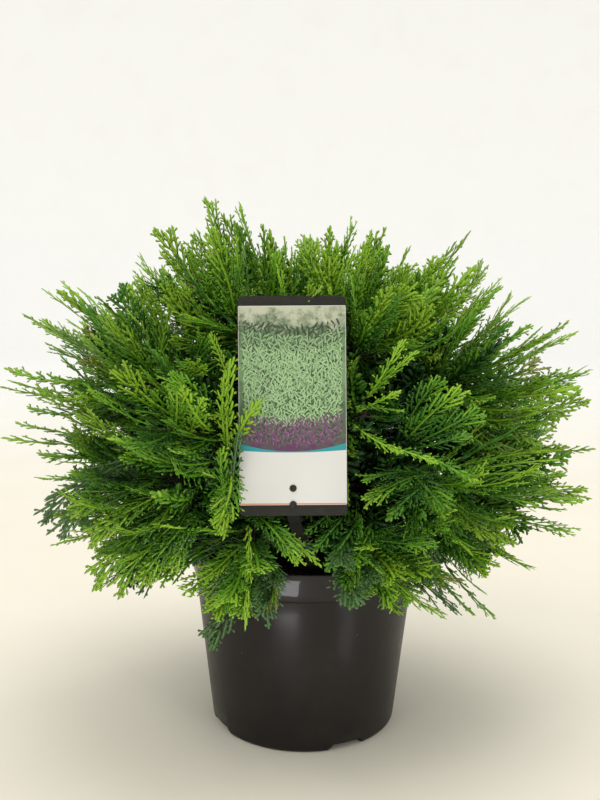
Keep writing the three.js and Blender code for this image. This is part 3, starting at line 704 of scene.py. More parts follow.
def moist_compost(name, dark, light, scale):
    """Moist peat compost: nearly black brown, crumbly, no gloss."""
    material, tree, shader, place = new_material(name)
    crumb = add_node(tree, "ShaderNodeTexVoronoi", {"Vector": place, "Scale": scale})
    cloud = add_node(tree, "ShaderNodeTexNoise", {"Vector": place, "Scale": scale / 3, "Detail": 5})
    ramp = add_node(tree, "ShaderNodeValToRGB", {"Fac": cloud})
    set_stops(ramp.color_ramp, [(0.38, dark), (0.68, light)])
    bump = add_node(tree, "ShaderNodeBump", {"Height": crumb, "Strength": 0.9, "Distance": 0.0012})
    feed(shader, {"Base Color": ramp, "Normal": bump, "Roughness": 0.95})
    return material


def new_tree(name, inputs):
    """A geometry nodes tree and the outputs of its start. The inputs are given by name and kind."""
    tree = bpy.data.node_groups.new(name, "GeometryNodeTree")
    for label, kind in {"Geometry": "Geometry", **inputs}.items():
        tree.interface.new_socket(label, in_out="INPUT", socket_type=f"NodeSocket{kind}")
    tree.interface.new_socket("Geometry", in_out="OUTPUT", socket_type="NodeSocketGeometry")
    return tree, add_node(tree, "NodeGroupInput").outputs


def end_with_copies(tree, points, shape, turn, size, material):
    """Ends a geometry nodes tree with copies of a shape on points, as faces of one material."""
    copies = add_node(tree, "GeometryNodeInstanceOnPoints", {
        "Points": points, "Instance": shape, "Rotation": turn, "Scale": size,
    })
    real = add_node(tree, "GeometryNodeRealizeInstances", {"Geometry": copies})
    finish = add_node(tree, "GeometryNodeSetMaterial", {"Geometry": real, "Material": material})
    add_node(tree, "NodeGroupOutput", {"Geometry": finish})


def crumb_tree(material):
    """Geometry nodes: crumbs scattered on the level part of a surface, turned and sized at random."""
    tree, start = new_tree("compost_crumbs", {"Crumb size": "Float", "Density": "Float", "Lowest": "Float"})
    place = add_node(tree, "GeometryNodeInputPosition")
    parts = add_node(tree, "ShaderNodeSeparateXYZ", {0: place})
    above = add_node(tree, "FunctionNodeCompare", {0: parts.outputs["Z"], 1: start["Lowest"]},
                     data_type="FLOAT", operation="GREATER_THAN")
    points = add_node(tree, "GeometryNodeDistributePointsOnFaces", {
        "Mesh": start["Geometry"], "Selection": above, "Density": start["Density"], "Seed": 3,
    })
    lump = add_node(tree, "GeometryNodeMeshIcoSphere", {"Radius": 0.5, "Subdivisions": 1})
    turn = add_node(tree, "FunctionNodeRandomValue", {
        "Min": (0, 0, 0), "Max": (6.28, 6.28, 6.28), "Seed": 5,
    }, data_type="FLOAT_VECTOR")
    shape = add_node(tree, "FunctionNodeRandomValue", {
        "Min": (0.5, 0.5, 0.35), "Max": (1.9, 1.1, 0.8), "Seed": 8,
    }, data_type="FLOAT_VECTOR")
    size = add_node(tree, "ShaderNodeVectorMath", {0: shape, "Scale": start["Crumb size"]},
                    operation="SCALE")
    end_with_copies(tree, points, lump, turn, size, material)
    return tree


def nodes_result(name, mesh, tree, inputs):
    """Runs a geometry nodes tree on a mesh and returns its result as a plain mesh."""
    carrier = add_object("carrier", mesh)
    modifier = carrier.modifiers.new("nodes", "NODES")
    modifier.node_group = tree
    for socket in tree.interface.items_tree:
        if socket.in_out == "INPUT" and socket.name in inputs:
            modifier[socket.identifier] = inputs[socket.name]
    return evaluated_mesh(carrier, name)


class SoilOperator(bpy.types.Operator):
    """Adds the potting compost and the crumbs that lie on it"""
    bl_idname = "cypress.add_soil"
    bl_label = "Soil"

    def execute(self, context):
        values = context.scene.cypress_soil
        mesh = soil_mesh(values)
        dry = moist_compost("dry_compost_crumbs", values.colour, values.crumb_colour, 900)
        inputs = {"Crumb size": values.crumb, "Density": values.density, "Lowest": values.top - 0.004}
        crumbs = nodes_result("compost_crumbs", mesh.copy(), crumb_tree(dry), inputs)
        moist = moist_compost("moist_compost", values.colour, values.crumb_colour, 500)
        add_piece("potting_compost", mesh, [moist], "soil", "potting_soil")
        add_piece("compost_crumbs", crumbs, [], "soil", "potting_soil")
        return {"FINISHED"}


# The crown's rule, as in the solids.

def crown_reach(azimuth, elevation):
    """How far the sprays reach from the crown's centre in a direction, in millimetres."""
    reach = np.interp(elevation, PROFILE[:, 0], PROFILE[:, 1])
    a = np.radians(azimuth)
    level = np.cos(np.radians(elevation))
    wave = np.sin(3 * a + 0.6) + 0.7 * np.sin(5 * a + 2.1) + 0.5 * np.sin(8 * a)
    lumps = 1 + CROWN["lumps"] * wave * level
    off = (azimuth - HOLLOW["azimuth"] + 540) % 360 - 180
    rise = elevation - HOLLOW["elevation"]
    press = np.exp(-(off / HOLLOW["width"]) ** 2 - (rise / HOLLOW["height"]) ** 2)
    back = 1 - CROWN["flat_back"] * np.maximum(0, np.sin(a)) ** 2 * level
    lopsided = 1 - CROWN["lopsided"] * np.cos(a) * np.sin(np.radians(2 * np.maximum(0, elevation)))
    return reach * lumps * back * lopsided * (1 - HOLLOW["depth"] * press)


def label_frame():
    """Places the label's own frame: across is X, up is Z and the front faces -Y."""
    turn = Matrix.Rotation(math.radians(-LABEL["turn"]), 4, "Y")
    lean = Matrix.Rotation(math.radians(-LABEL["lean_back"]), 4, "X")
    return Matrix.Translation(LABEL["centre"]) @ lean @ turn


LABEL_PLACE = label_frame()
OUT_OF_LABEL = np.array(LABEL_PLACE)
INTO_LABEL = np.array(LABEL_PLACE.inverted())


def moved(points, matrix):
    """Points after a 4 by 4 matrix."""
    return points @ matrix[:3, :3].T + matrix[:3, 3]


def reach_to_label(units):
    """How far along each direction the label stops a spray, or infinity."""
    start = moved(CENTRE, INTO_LABEL)
    toward = units @ INTO_LABEL[:3, :3].T
    back = LABEL["thickness"] + 2 * LABEL["clearance"]
    with np.errstate(divide="ignore"):
        distance = np.where(toward[:, 1] < -0.05, (back - start[1]) / toward[:, 1], np.inf)
    hit = start + toward * np.where(np.isfinite(distance), distance, 0)[:, None]
    half_width, half_height = LABEL["width"] / 2 + LABEL["margin"], LABEL["height"] / 2 + LABEL["margin"]
    misses = (np.abs(hit[:, 0]) > half_width) | (np.abs(hit[:, 2]) > half_height)
    return np.where(misses, np.inf, distance)


def foliage_masses():
    """Each mass's name, axis, where its bough leaves the trunk, and how far bough, stem and sprays reach."""
    names, axes, leaves, ends = [], [], [], []
    for ring, (elevation, count, azimuth, height, reach) in RINGS.items():
        for i in range(count):
            names.append(f"{ring}_{i + 1:02d}" if count > 1 else ring)
            axes.append(directions(azimuth + i * 360 / count, elevation))
            stagger = 12 * (i * (count // 2) / count % 1) - 6 if count > 1 else 0
            leaves.append(height + stagger)
            ends.append(reach)
    axes = np.array(axes)
    outline = np.minimum(crown_reach(*angles(axes)), reach_to_label(axes))
    ends = np.minimum(np.array(ends), BOUGH["share"] * outline)
    stems = np.maximum(STEM["end"] * outline, ends + STEM["shortest"])
    return names, axes, np.array(leaves), ends, stems


MASS_NAMES, AXES, LEAVES_TRUNK, BOUGH_ENDS, STEM_ENDS = foliage_masses()


# Trunk, boughs and the stems inside the masses.

def trunk_centre(z):
    share = (z - SOIL_TOP) / (TRUNK["tip"][2] - SOIL_TOP)
    bow = np.sin(np.pi * share)
    x = TRUNK["tip"][0] * share + TRUNK["lean"][0] * bow
    y = TRUNK["tip"][1] * share + TRUNK["lean"][1] * bow
    return np.stack([x, y, z + 0 * x], axis=-1)


def trunk_radius(z):
    share = (z - SOIL_TOP) / (TRUNK["tip"][2] - SOIL_TOP)
    flare = np.exp(-(z - SOIL_TOP) / TRUNK["flare_height"])
    plain = TRUNK["radius"] + (TRUNK["tip_radius"] - TRUNK["radius"]) * share
    return plain + (TRUNK["flare_radius"] - TRUNK["radius"]) * flare


def curve_points(a, b, c, t):
    """Points on the curves that start at a, bend towards b and end at c."""
    t = np.asarray(t)[..., None]
    return (1 - t) ** 2 * a + 2 * (1 - t) * t * b + t ** 2 * c


def curve_tangents(a, b, c, t):
    t = np.asarray(t)[..., None]
    return unit((1 - t) * (b - a) + t * (c - b))


def side_vectors(tangents):
    """A vector across each tangent, level where it can be."""
    across = np.cross(tangents, UP)
    flat = np.linalg.norm(across, axis=-1) < 0.2
    across[flat] = np.cross(tangents[flat], [0.0, 1.0, 0.0])
    return unit(across)


def tube(points, radii, sides, relief=None):
    """A round tube along points, as arrays of points, corners and face sizes."""
    tangents = unit(np.gradient(points, axis=0))
    across = side_vectors(tangents)
    over = np.cross(across, tangents)
    rows = len(points)
    turns = np.linspace(0, 2 * np.pi, sides, endpoint=False)
    spread = np.broadcast_to(radii[:, None], (rows, sides))
    if relief is not None:
        spread = spread + relief(np.arange(rows)[:, None], turns[None, :])
    ring = np.cos(turns)[None, :, None] * across[:, None] + np.sin(turns)[None, :, None] * over[:, None]
    skin = points[:, None] + ring * spread[..., None]
    k, j = np.meshgrid(np.arange(rows - 1), np.arange(sides), indexing="ij")
    low, after = k * sides, (j + 1) % sides
    quads = np.stack([low + j, low + sides + j, low + sides + after, low + after], axis=-1)
    caps = np.concatenate([np.arange(sides), (rows - 1) * sides + np.arange(sides)[::-1]])
    sizes = np.concatenate([np.full((rows - 1) * sides, 4), [sides, sides]])
    return skin.reshape(-1, 3), np.concatenate([quads.ravel(), caps]), sizes


def join(parts):
    """Joins several (points, corners, sizes) into one."""
    points, corners, sizes = zip(*parts)
    starts = np.cumsum([0] + [len(part) for part in points[:-1]])
    corners = [part + start for part, start in zip(corners, starts)]
    return np.concatenate(points), np.concatenate(corners), np.concatenate(sizes)


def bough_ends(i):
    start = trunk_centre(np.array(LEAVES_TRUNK[i]))
    tip = CENTRE + AXES[i] * BOUGH_ENDS[i]
    return start, tip - AXES[i] * BOUGH["arch"] * np.linalg.norm(tip - start), tip


def trunk_parts(relief):
    heights = SOIL_TOP + GAP + (TRUNK["tip"][2] - SOIL_TOP - GAP) * np.linspace(0, 1, 70) ** 1.2

    def furrows(row, turn):
        z = heights[row]
        waves = np.sin(7 * turn + 0.11 * z + np.sin(0.07 * z)) * np.sin(11 * turn - 0.05 * z + 1.3)
        fine = 0.4 * np.sin(23 * turn + 0.3 * z) * np.sin(0.21 * z + 3 * turn)
        return relief * (waves + fine - 1) * np.minimum(1, trunk_radius(z) / 8)

    return tube(trunk_centre(heights), trunk_radius(heights), 48, furrows)


def bough_parts(relief):
    parts = []
    for i, name in enumerate(MASS_NAMES):
        if name == "top":
            continue
        a, b, c = bough_ends(i)
        t = np.linspace(0, 1, 22)
        points = curve_points(a, b, c, t)
        radii = BOUGH["radius"] + (BOUGH["tip_radius"] - BOUGH["radius"]) * t

        def furrows(row, turn, phase=i):
            return 0.35 * relief * (np.sin(5 * turn + 0.6 * row + phase) * np.sin(3 * turn - 0.4 * row) - 1)

        parts.append(tube(points, radii, 14, furrows))
    return join(parts)


class LimbsOperator(bpy.types.Operator):
    """Adds the trunk and the boughs with the relief of their bark"""
    bl_idname = "cypress.add_limbs"
    bl_label = "Trunk and boughs"

    def execute(self, context):
        values = context.scene.cypress_wood
        relief = values.relief / MM
        bark = bark_material("fibrous_bark", values.bark_colour, values.furrow_colour, 420, 0.0009)
        trunk = mesh_from_arrays("trunk_bark", *trunk_parts(relief))
        add_piece("trunk_bark", trunk, [bark], "bark", "trunk")
        boughs = mesh_from_arrays("bough_bark", *bough_parts(relief))
        solids = [f"bough_{name}" for name in MASS_NAMES if name != "top"]
        add_piece("bough_bark", boughs, [bark], "bark", *solids)
        return {"FINISHED"}


# Branchlets: a twig from a mass's stem that ends in a flat spray and carries more on both sides.

def spiral(count, shift, lowest=SPRAY["lowest"]):
    """Directions spread evenly over the crown, from its lowest sprays to its top."""
    k = np.arange(count)
    floor = math.sin(math.radians(lowest))
    height = floor + (1 - floor) * ((k + 0.5) / count)
    elevation = np.degrees(np.arcsin(height)) + SPRAY["scatter"] * (chance(1 + shift, k) - 0.5)
    azimuth = k * SPRAY["golden"] + 97 * shift + SPRAY["scatter"] * (chance(2 + shift, k) - 0.5)
    return directions(azimuth, np.minimum(elevation, 89))


def gathered(units, tufts, share):
    """Draws directions towards the nearest tuft, which leaves darker gaps between the tufts."""
    nearest = tufts[np.argmax(units @ tufts.T, axis=1)]
    return unit(units * (1 - share) + nearest * share)


def depth_of_gaps(azimuth, elevation):
    """How deep the crown's gaps are in each direction, as a share of its reach."""
    depth = np.zeros(len(azimuth))
    for middle, height, wide, tall, deep in GAPS:
        off = (azimuth - middle + 540) % 360 - 180
        depth = np.maximum(depth, deep * np.exp(-(off / wide) ** 2 - ((elevation - height) / tall) ** 2))
    return depth


def beside(leaders, count, rng):
    """Directions scattered round the low leaders, so that each becomes a broad drooping fan."""
    low = np.repeat(leaders[leaders[:, 1] < SPRAY["drooping_below"]], count, axis=0)
    azimuth = low[:, 0] + rng.uniform(-9, 9, len(low))
    elevation = low[:, 1] + rng.uniform(-3, 9, len(low))
    return directions(azimuth, elevation), low[:, 2] * rng.uniform(0.84, 1.0, len(low))


def front_view(points):
    """Where points stand in the camera's view, from the crown's centre and in millimetres at its distance."""
    down = math.radians(CAMERA["down"])
    ahead = np.array([0, math.cos(down), -math.sin(down)])
    up = np.array([0, math.sin(down), math.cos(down)])
    eye = np.array(CAMERA["place"]) / MM
    middle, offset = CENTRE - eye, points - eye
    scale = middle @ ahead / (offset @ ahead)
    return offset[..., 0] * scale - middle[0], offset @ up * scale - middle @ up


def kept_in_outline(tips, free, slack):
    """Draws tips that aren't free in to the crown's outline, and all of them in to the solids' box."""
    low, high = (np.array(corner) / MM for corner in CAD_BOX)
    for _ in range(2):
        x, z = front_view(tips)
        limit = np.interp(np.degrees(np.arctan2(z, x)), OUTLINE[:, 0], OUTLINE[:, 1])
        share = np.where(free, 1, np.minimum(1, limit * slack / np.hypot(x, z)))
        tips = CENTRE + (tips - CENTRE) * share[:, None]
    return np.clip(tips, low, high)


def in_windows(points, nearest=None):
    """True where a point would stand before one of the openings or hollows, or nearer than a given depth."""
    x, z = front_view(points)
    inside = np.zeros(x.shape, bool)
    for left, right, low, high, depth in WINDOWS:
        near = points[..., 1] < (depth if nearest is None else nearest)
        inside |= (x > left) & (x < right) & (z > low) & (z < high) & near
    return inside


def with_companions(leaders, rng):
    """Gives each leader two shorter shoots close beside it."""
    more = np.repeat(leaders, 2, axis=0)
    more[:, 0] += rng.uniform(-5, 5, len(more))
    more[:, 1] += rng.uniform(-4, 4, len(more))
    more[:, 2] *= rng.uniform(0.86, 0.97, len(more))
    more[:, 3] *= rng.uniform(0.6, 1.0, len(more))
    return np.vstack([leaders, more])


def branchlets(values, rng):
    """Each branchlet's direction, reach, sort and half width."""
    shoots = with_companions(LEADERS, rng)
    leaders = directions(shoots[:, 0], shoots[:, 1])
    main = spiral(SPRAY["count"], 0)
    main = main[(main @ leaders[:len(LEADERS)].T).max(axis=1) < SPRAY["near_leader"]]
    tufts = spiral(values.tufts, 5)
    main = gathered(main, tufts, 0.12)
    between = gathered(spiral(values.between, 1), tufts, 0.4)
    inner = spiral(values.inner, 2, SPRAY["inner_lowest"])
    core = spiral(values.core, 3, SPRAY["core_lowest"])
    drooping, drooping_reach = beside(LEADERS, values.drooping, rng)
    shells = [leaders, np.concatenate([main, drooping]), between, inner, core]
    units = np.concatenate(shells)
    sort = np.repeat(np.arange(len(shells)), [len(shell) for shell in shells])
    low, high = REACH_LOW[sort], REACH_HIGH[sort]
    share = low + (high - low) * chance(3, np.arange(len(units)))
    azimuth, elevation = angles(units)
    depth = depth_of_gaps(azimuth, elevation)
    reach = crown_reach(azimuth, elevation) * share
    first = len(leaders) + len(main)
    reach[first:first + len(drooping)] = drooping_reach
    reach = np.minimum(reach * (1 - depth), reach_to_label(units))
    reach[sort == LEADER] = shoots[:, 2]
    # Only leaders and the inner branchlets stay where the gaps are deep.
    keep = (sort == LEADER) | (sort > BETWEEN) | (depth < 0.2)
    half = values.spray_half / MM * rng.uniform(0.85, 1.2, len(units))
    half[sort == LEADER] = 1.15 * shoots[:, 3]
    return units[keep], reach[keep], sort[keep], half[keep]


def branchlet_curves(units, reach, sort, rng):
    """Each branchlet's mass and its curve: a root on the mass's stem, a bend, and a tip."""
    mass = np.argmax(units @ AXES.T, axis=1)
    axis = AXES[mass]
    # The nearer a branchlet lies to its mass's axis, the further out on the stem it roots.
    span = STEM_ENDS[mass] - BOUGH_ENDS[mass]
    spread = 1 - np.clip((1 - np.sum(units * axis, axis=1)) / 0.12, 0, 1)
    out = 0.3 + 0.55 * (0.75 * spread + 0.25 * rng.random(len(units)))
    out = np.where(reach < SPRAY["short_reach"], 0.2, out)
    start = CENTRE + axis * (BOUGH_ENDS[mass] + span * out)[:, None]
    slack = 0.93 + 0.22 * rng.random(len(units)) ** 2
    leads = sort == LEADER
    tip = kept_in_outline(CENTRE + units * reach[:, None], leads, slack)
    # Leaders run nearly straight. The others turn up towards their tips and swing to a side.
    elevation = angles(units)[1]
    rise = SPRAY["rise"] * np.clip((elevation + 40) / 40, 0, 1) * np.cos(np.radians(elevation))
    rise = np.where(leads, 0.1, rise * (0.7 + 0.6 * rng.random(len(units))))
    sideways = unit(np.cross(np.broadcast_to(UP, units.shape), units))
    swing = np.where(leads, 0.12, 0.55) * rng.uniform(-1, 1, len(units))
    ending = unit(units + UP * rise[:, None] + sideways * swing[:, None])
    bend = tip - ending * 0.5 * np.linalg.norm(tip - start, axis=1, keepdims=True)
    return mass, start, bend, tip


def rolled_sides(tangents, roll):
    """Vectors across the tangents, turned about them by roll in radians."""
    across = side_vectors(tangents)
    over = np.cross(across, tangents)
    return across * np.cos(roll)[:, None] + over * np.sin(roll)[:, None]


def part_of_curve(a, b, c, t):
    """The stretch from t to the end of each curve, as a curve of its own."""
    first = curve_points(a, b, c, t)
    return first, (1 - t)[:, None] * b + t[:, None] * c, c


def grow_sprays(values, rng):
    """All sprays and all twigs. The sprays are arrays of the curve's root, bend and tip, the vector across,
    the half width, mass and sort, the branchlet's number, and the order on it: 0 at its end, then back."""
    units, reach, sort, half = branchlets(values, rng)
    mass, start, bend, tip = branchlet_curves(units, reach, sort, rng)
    count = len(units)
    length = values.spray_length / MM * rng.uniform(0.82, 1.2, count)
    total = 0.5 * sum(np.linalg.norm(a - b, axis=1) for a, b in ((tip, start), (bend, start), (tip, bend)))
    begin = np.clip(1 - length / total, 0.06, 0.9)
    # Sprays lie nearly level, but stand at all turns high in the crown, and so do three in ten elsewhere.
    wild = np.clip((angles(units)[1] - 40) / 35, 0, 1)
    roll = rng.normal(0, 1, count) * np.radians(26 + 50 * wild)
    loose = rng.random(count) < 0.3
    roll = np.where(loose, rng.uniform(-1.5, 1.5, count), roll)
    end_side = rolled_sides(curve_tangents(start, bend, tip, np.ones(count)), roll)
    number = np.arange(count)
    groups = [(*part_of_curve(start, bend, tip, begin), end_side, half, mass, sort, number, 0 * number)]
    for order, (back, share) in enumerate(SIDE_SPRAYS, start=1):
        at = np.clip(begin - back * length / total, 0.03, 0.9)
        root = curve_points(start, bend, tip, at)
        along = curve_tangents(start, bend, tip, at)
        across = unit(end_side - along * np.sum(end_side * along, axis=1, keepdims=True))
        normal = np.cross(across, along)
        hand = np.where((number + order) % 2 == 1, 1.0, -1.0)
        angle = np.radians(rng.uniform(30, 46, count) + np.where(sort == CORE, 32, 0))
        lift = rng.normal(0, 0.12, count)[:, None] * normal
        far = (length * share * rng.uniform(0.85, 1.1, count))[:, None]

        def heading(turn):
            return along * np.cos(turn)[:, None] + across * (hand * np.sin(turn))[:, None]

        ahead = heading(angle)
        side = unit(np.cross(normal, ahead))
        end = kept_in_outline(root + (ahead + lift) * far, sort == LEADER, 1.06)
        # A narrow leader carries no side sprays, a broad one two.
        keep = ((sort != LEADER) | (half > 9) & (order < 3)) & (at > 0.035)
        groups.append(tuple(value[keep] for value in (
            root, root + heading(angle + 0.3) * 0.5 * far, end, side, half * share ** 0.5,
            mass, sort, number, 0 * number + order,
        )))
    return [np.concatenate(group) for group in zip(*groups)], (start, bend, tip, begin)


# One flat spray of scale leaves, in millimetres: x along the stalk, y across it, z out of its plane.

PATTERN_LENGTH = 80.0

# Sorts of spray: half width, pairs of branches, shoots on each branch, and the strands' half widths.
PATTERNS = {
    "broad": {"half": 13.0, "pairs": 8, "shoots": 6, "widths": (0.95, 0.85), "thick": 0.5, "count": 6},
    "narrow": {"half": 7.0, "pairs": 8, "shoots": 2, "widths": (0.95, 0.85), "thick": 0.5, "count": 4},
    "coarse": {"half": 13.0, "pairs": 6, "shoots": 0, "widths": (1.9, 1.6), "thick": 0.9, "count": 3},
    "heart": {"half": 17.0, "pairs": 4, "shoots": 0, "widths": (4.4, 3.6), "thick": 1.2, "count": 2},
}


def strand(points, widths, thickness):
    """A three-sided strand that starts and ends in a point and has a ridge on top."""
    points = np.asarray(points, dtype=float)
    ahead = unit(np.gradient(points, axis=0))
    across = unit(np.cross(ahead, UP))
    vertices = [points[0]]
    for k in range(1, len(points) - 1):
        vertices.append(points[k] - across[k] * widths[k - 1])
        vertices.append(points[k] + UP * thickness)
        vertices.append(points[k] + across[k] * widths[k - 1])
    vertices.append(points[-1])
    faces = [(0, 1, 2), (0, 2, 3), (0, 3, 1)]
    for k in range(len(points) - 3):
        low, high = 1 + 3 * k, 4 + 3 * k
        for j in range(3):
            after = (j + 1) % 3
            faces.append((low + j, high + j, high + after, low + after))
    last = len(vertices) - 1
    low = last - 3
    faces += [(low, last, low + 1), (low + 1, last, low + 2), (low + 2, last, low)]
    return np.array(vertices), faces


def spray_pattern(rng, kind):
    """The strands of one spray: a stalk, alternate branches that lean forward, and blunt shoots on them."""
    stalk = [(x, 0.6 * math.sin(5 * x / PATTERN_LENGTH + 1), 0)
             for x in PATTERN_LENGTH * np.array([0, 0.2, 0.4, 0.6, 0.8, 0.98, 1])]
    strands = [strand(stalk, [0.95, 1.05, 1.05, 1.05, 1.0], 0.7)]
    branches = 2 * kind["pairs"]
    for k in range(branches):
        share = (k + 0.5) / branches
        root = np.array([PATTERN_LENGTH * (0.03 + 0.9 * share) + rng.uniform(-1.2, 1.2), 0, 0])
        hand = 1 if k % 2 else -1
        lean = math.radians(38 - 15 * share + rng.uniform(-5, 5))
        wide = kind["half"] * math.sin(math.pi * (0.2 + 0.7 * share)) ** 0.8 * rng.uniform(0.75, 1.15)
        reach = wide / math.sin(lean)
        ahead = np.array([math.cos(lean), hand * math.sin(lean), 0])
        turn_in = np.array([math.cos(lean * 0.6), hand * math.sin(lean * 0.6), 0])
        lift = rng.uniform(-0.16, 0.16)

        def along(s):
            return root + (ahead * (1 - s) + turn_in * s) * reach * s + UP * lift * reach * s ** 1.5

        strands.append(strand([along(s) for s in (0, 0.35, 0.92, 1)], kind["widths"], kind["thick"]))
        shoots = min(kind["shoots"], int(reach / 3.6))
        for m in range(shoots):
            s = 0.14 + 0.72 * (m + rng.uniform(0.15, 0.45)) / shoots
            other = hand if m % 2 else -hand
            angle = hand * lean * 0.8 + other * math.radians(rng.uniform(24, 40))
            size = rng.uniform(3.4, 7.6) * (1.2 - 0.6 * s) * min(1, reach / 13)
            heading = np.array([math.cos(angle), math.sin(angle), rng.uniform(-0.14, 0.14)])
            base = along(s)
            strands.append(strand([base, base + heading * size * 0.8, base + heading * size], [0.88], 0.5))
    return strands


def pattern_arrays(rng, kind):
    """One spray pattern as arrays. Each face has a mark: 0 for the body, 1 near an edge, 2 at the tip."""
    points, corners, sizes, marks = [], [], [], []
    start = 0
    for vertices, faces in spray_pattern(rng, kind):
        far, wide = vertices[:, 0].max() / PATTERN_LENGTH, np.abs(vertices[:, 1]).max() / kind["half"]
        points.append(vertices / [PATTERN_LENGTH, kind["half"], 1])
        mark = 2 if far > 0.93 and len(vertices) < 10 else int(far > 0.78 or wide > 0.85)
        for face in faces:
            corners.extend(start + v for v in face)
            sizes.append(len(face))
            marks.append(mark)
        start += len(vertices)
    return np.concatenate(points), np.array(corners), np.array(sizes), np.array(marks)


def bend_patterns(pattern, a, b, c, side, half):
    """Lays a pattern's points along each spray's curve: an array of sprays by points by three."""
    t, y, z = pattern.T
    a, b, c, side = (value[:, None] for value in (a, b, c, side))
    along = curve_tangents(a, b, c, t)
    across = unit(side - along * np.sum(side * along, axis=-1, keepdims=True))
    over = np.cross(across, along)
    return curve_points(a, b, c, t) + across * (y * half[:, None])[..., None] + over * z[:, None]


# Room that the middle lines of the sprays keep out of, in millimetres: the pot's, and the label's, which
# begins a little behind the plate's face and reaches forward from there.
POT_ROOM = {"top": 141, "radius": 89}
LABEL_ROOM = {"half_width": 37, "half_height": 73, "behind": 3.0}
# Where a leaf that would still touch them is moved to.
POT_TOUCH = {"top": 140, "radius": 88}
LABEL_TOUCH = {"half_width": 36, "half_height": 72, "behind": 3.2}


def in_pot(points, room):
    return (points[..., 2] < room["top"]) & (np.hypot(points[..., 0], points[..., 1]) < room["radius"])


def before_label(local, room):
    return (np.abs(local[..., 0]) < room["half_width"]) & (np.abs(local[..., 2]) < room["half_height"])


def near_made_things(points):
    """True where a point lies in the pot, under the soil, or in or before the label."""
    local = moved(points, INTO_LABEL)
    return in_pot(points, POT_ROOM) | before_label(local, LABEL_ROOM) & (local[..., 1] < LABEL_ROOM["behind"])


def in_gaps(points):
    """True where a point stands in one of the dark gaps between the sprays."""
    offset = points - CENTRE
    azimuth, elevation = angles(unit(offset))
    depth = depth_of_gaps(azimuth.ravel(), elevation.ravel()).reshape(azimuth.shape)
    room = crown_reach(azimuth, elevation) * (1 - depth)
    return (depth > 0.08) & (np.linalg.norm(offset, axis=-1) > room)


def rest_on_made_things(points):
    """Moves the points of a spray that touch the label or the rim to just clear of them."""
    local = moved(points, INTO_LABEL)
    behind = LABEL_TOUCH["behind"]
    inside = before_label(local, LABEL_TOUCH) & (np.abs(local[..., 1]) < behind)
    local[..., 1] = np.where(inside, behind, local[..., 1])
    points = np.where(inside[..., None], moved(local, OUT_OF_LABEL), points)
    out = np.maximum(np.hypot(points[..., 0], points[..., 1]), 1)
    points[..., :2] *= np.where(in_pot(points, POT_TOUCH), POT_TOUCH["radius"] / out, 1)[..., None]
    return points


GREENS = ["fresh", "bright", "middle", "deep", "shade", "blue", "tip"]
FRESH, BRIGHT, MIDDLE, DEEP, SHADE, BLUE, TIP = range(7)

# How often each sort of branchlet has each green, from the freshest to the bluish one.
# The inner and core sorts' deep and shade greens are painted shade for the crown's dark inside.
SHARES = np.array([
    [0.18, 0.40, 0.26, 0.12, 0.02, 0.02],
    [0.12, 0.32, 0.30, 0.18, 0.04, 0.04],
    [0.05, 0.20, 0.31, 0.26, 0.11, 0.07],
    [0.00, 0.04, 0.14, 0.34, 0.42, 0.06],
    [0.00, 0.00, 0.04, 0.16, 0.75, 0.05],
])

# How many greens fresher the tips of each sort can be.
FRESHER_STEPS = (2, 2, 1, 1, 0)


def deal_colours(sort, elevation, group, order, rng):
    """The green of each spray's body. Those of one branchlet are alike, its low and inner ones deeper as
    painted shade.
    """
    # The lower and the further back on its branchlet a spray is, the deeper, as painted shade.
    draw = rng.random(group.max() + 1)[group] * 0.6 + rng.random(len(group)) * 0.4
    draw += np.clip(-elevation / 90, 0, 1) * 0.45 + 0.06 * (order - 1)
    # The crown's top is fresher, as painted light from above.
    draw -= 0.12 * np.clip((elevation - 35) / 35, 0, 1)
    edges = np.cumsum(SHARES, axis=1)[sort]
    return (np.clip(draw, 0, 0.999)[:, None] > edges).sum(axis=1).clip(0, BLUE)


def face_colours(body, marks, hardened, sort):
    """The green of each face of a spray: edge and tip are fresher in the outer sorts, some tips olive."""
    steps = FRESHER_STEPS[sort] if body < SHADE else 0
    colours = np.maximum(body - np.minimum(marks, steps), 0)
    return np.where((marks == 2) & hardened, TIP, colours)


# Shoots that grew round the label's left edge, in the label's own frame: root, bend and tip, three numbers
# each, then the half width and the number of the green.
SHOOTS_BY_LABEL = np.array([
    [-43, 6, -38, -43, -8, -5, -39, -8, 31, 7, 0], [-44, 6, -30, -46, -8, -6, -43, -7, 22, 6, 0],
    [-40, 4, -28, -35, -10, -15, -19, -9, 5, 8, 0], [-42, 0, 16, -45, -4, 32, -53, -4, 47, 5, 0],
    [-42, 6, -62, -38, -10, -46, -34, -9, -16, 7, 5], [-40, 4, -50, -49, -9, -45, -66, -10, -38, 7, 1],
    [-46, 8, -66, -44, -10, -54, -46, -10, -26, 8, 2],
], dtype=float)
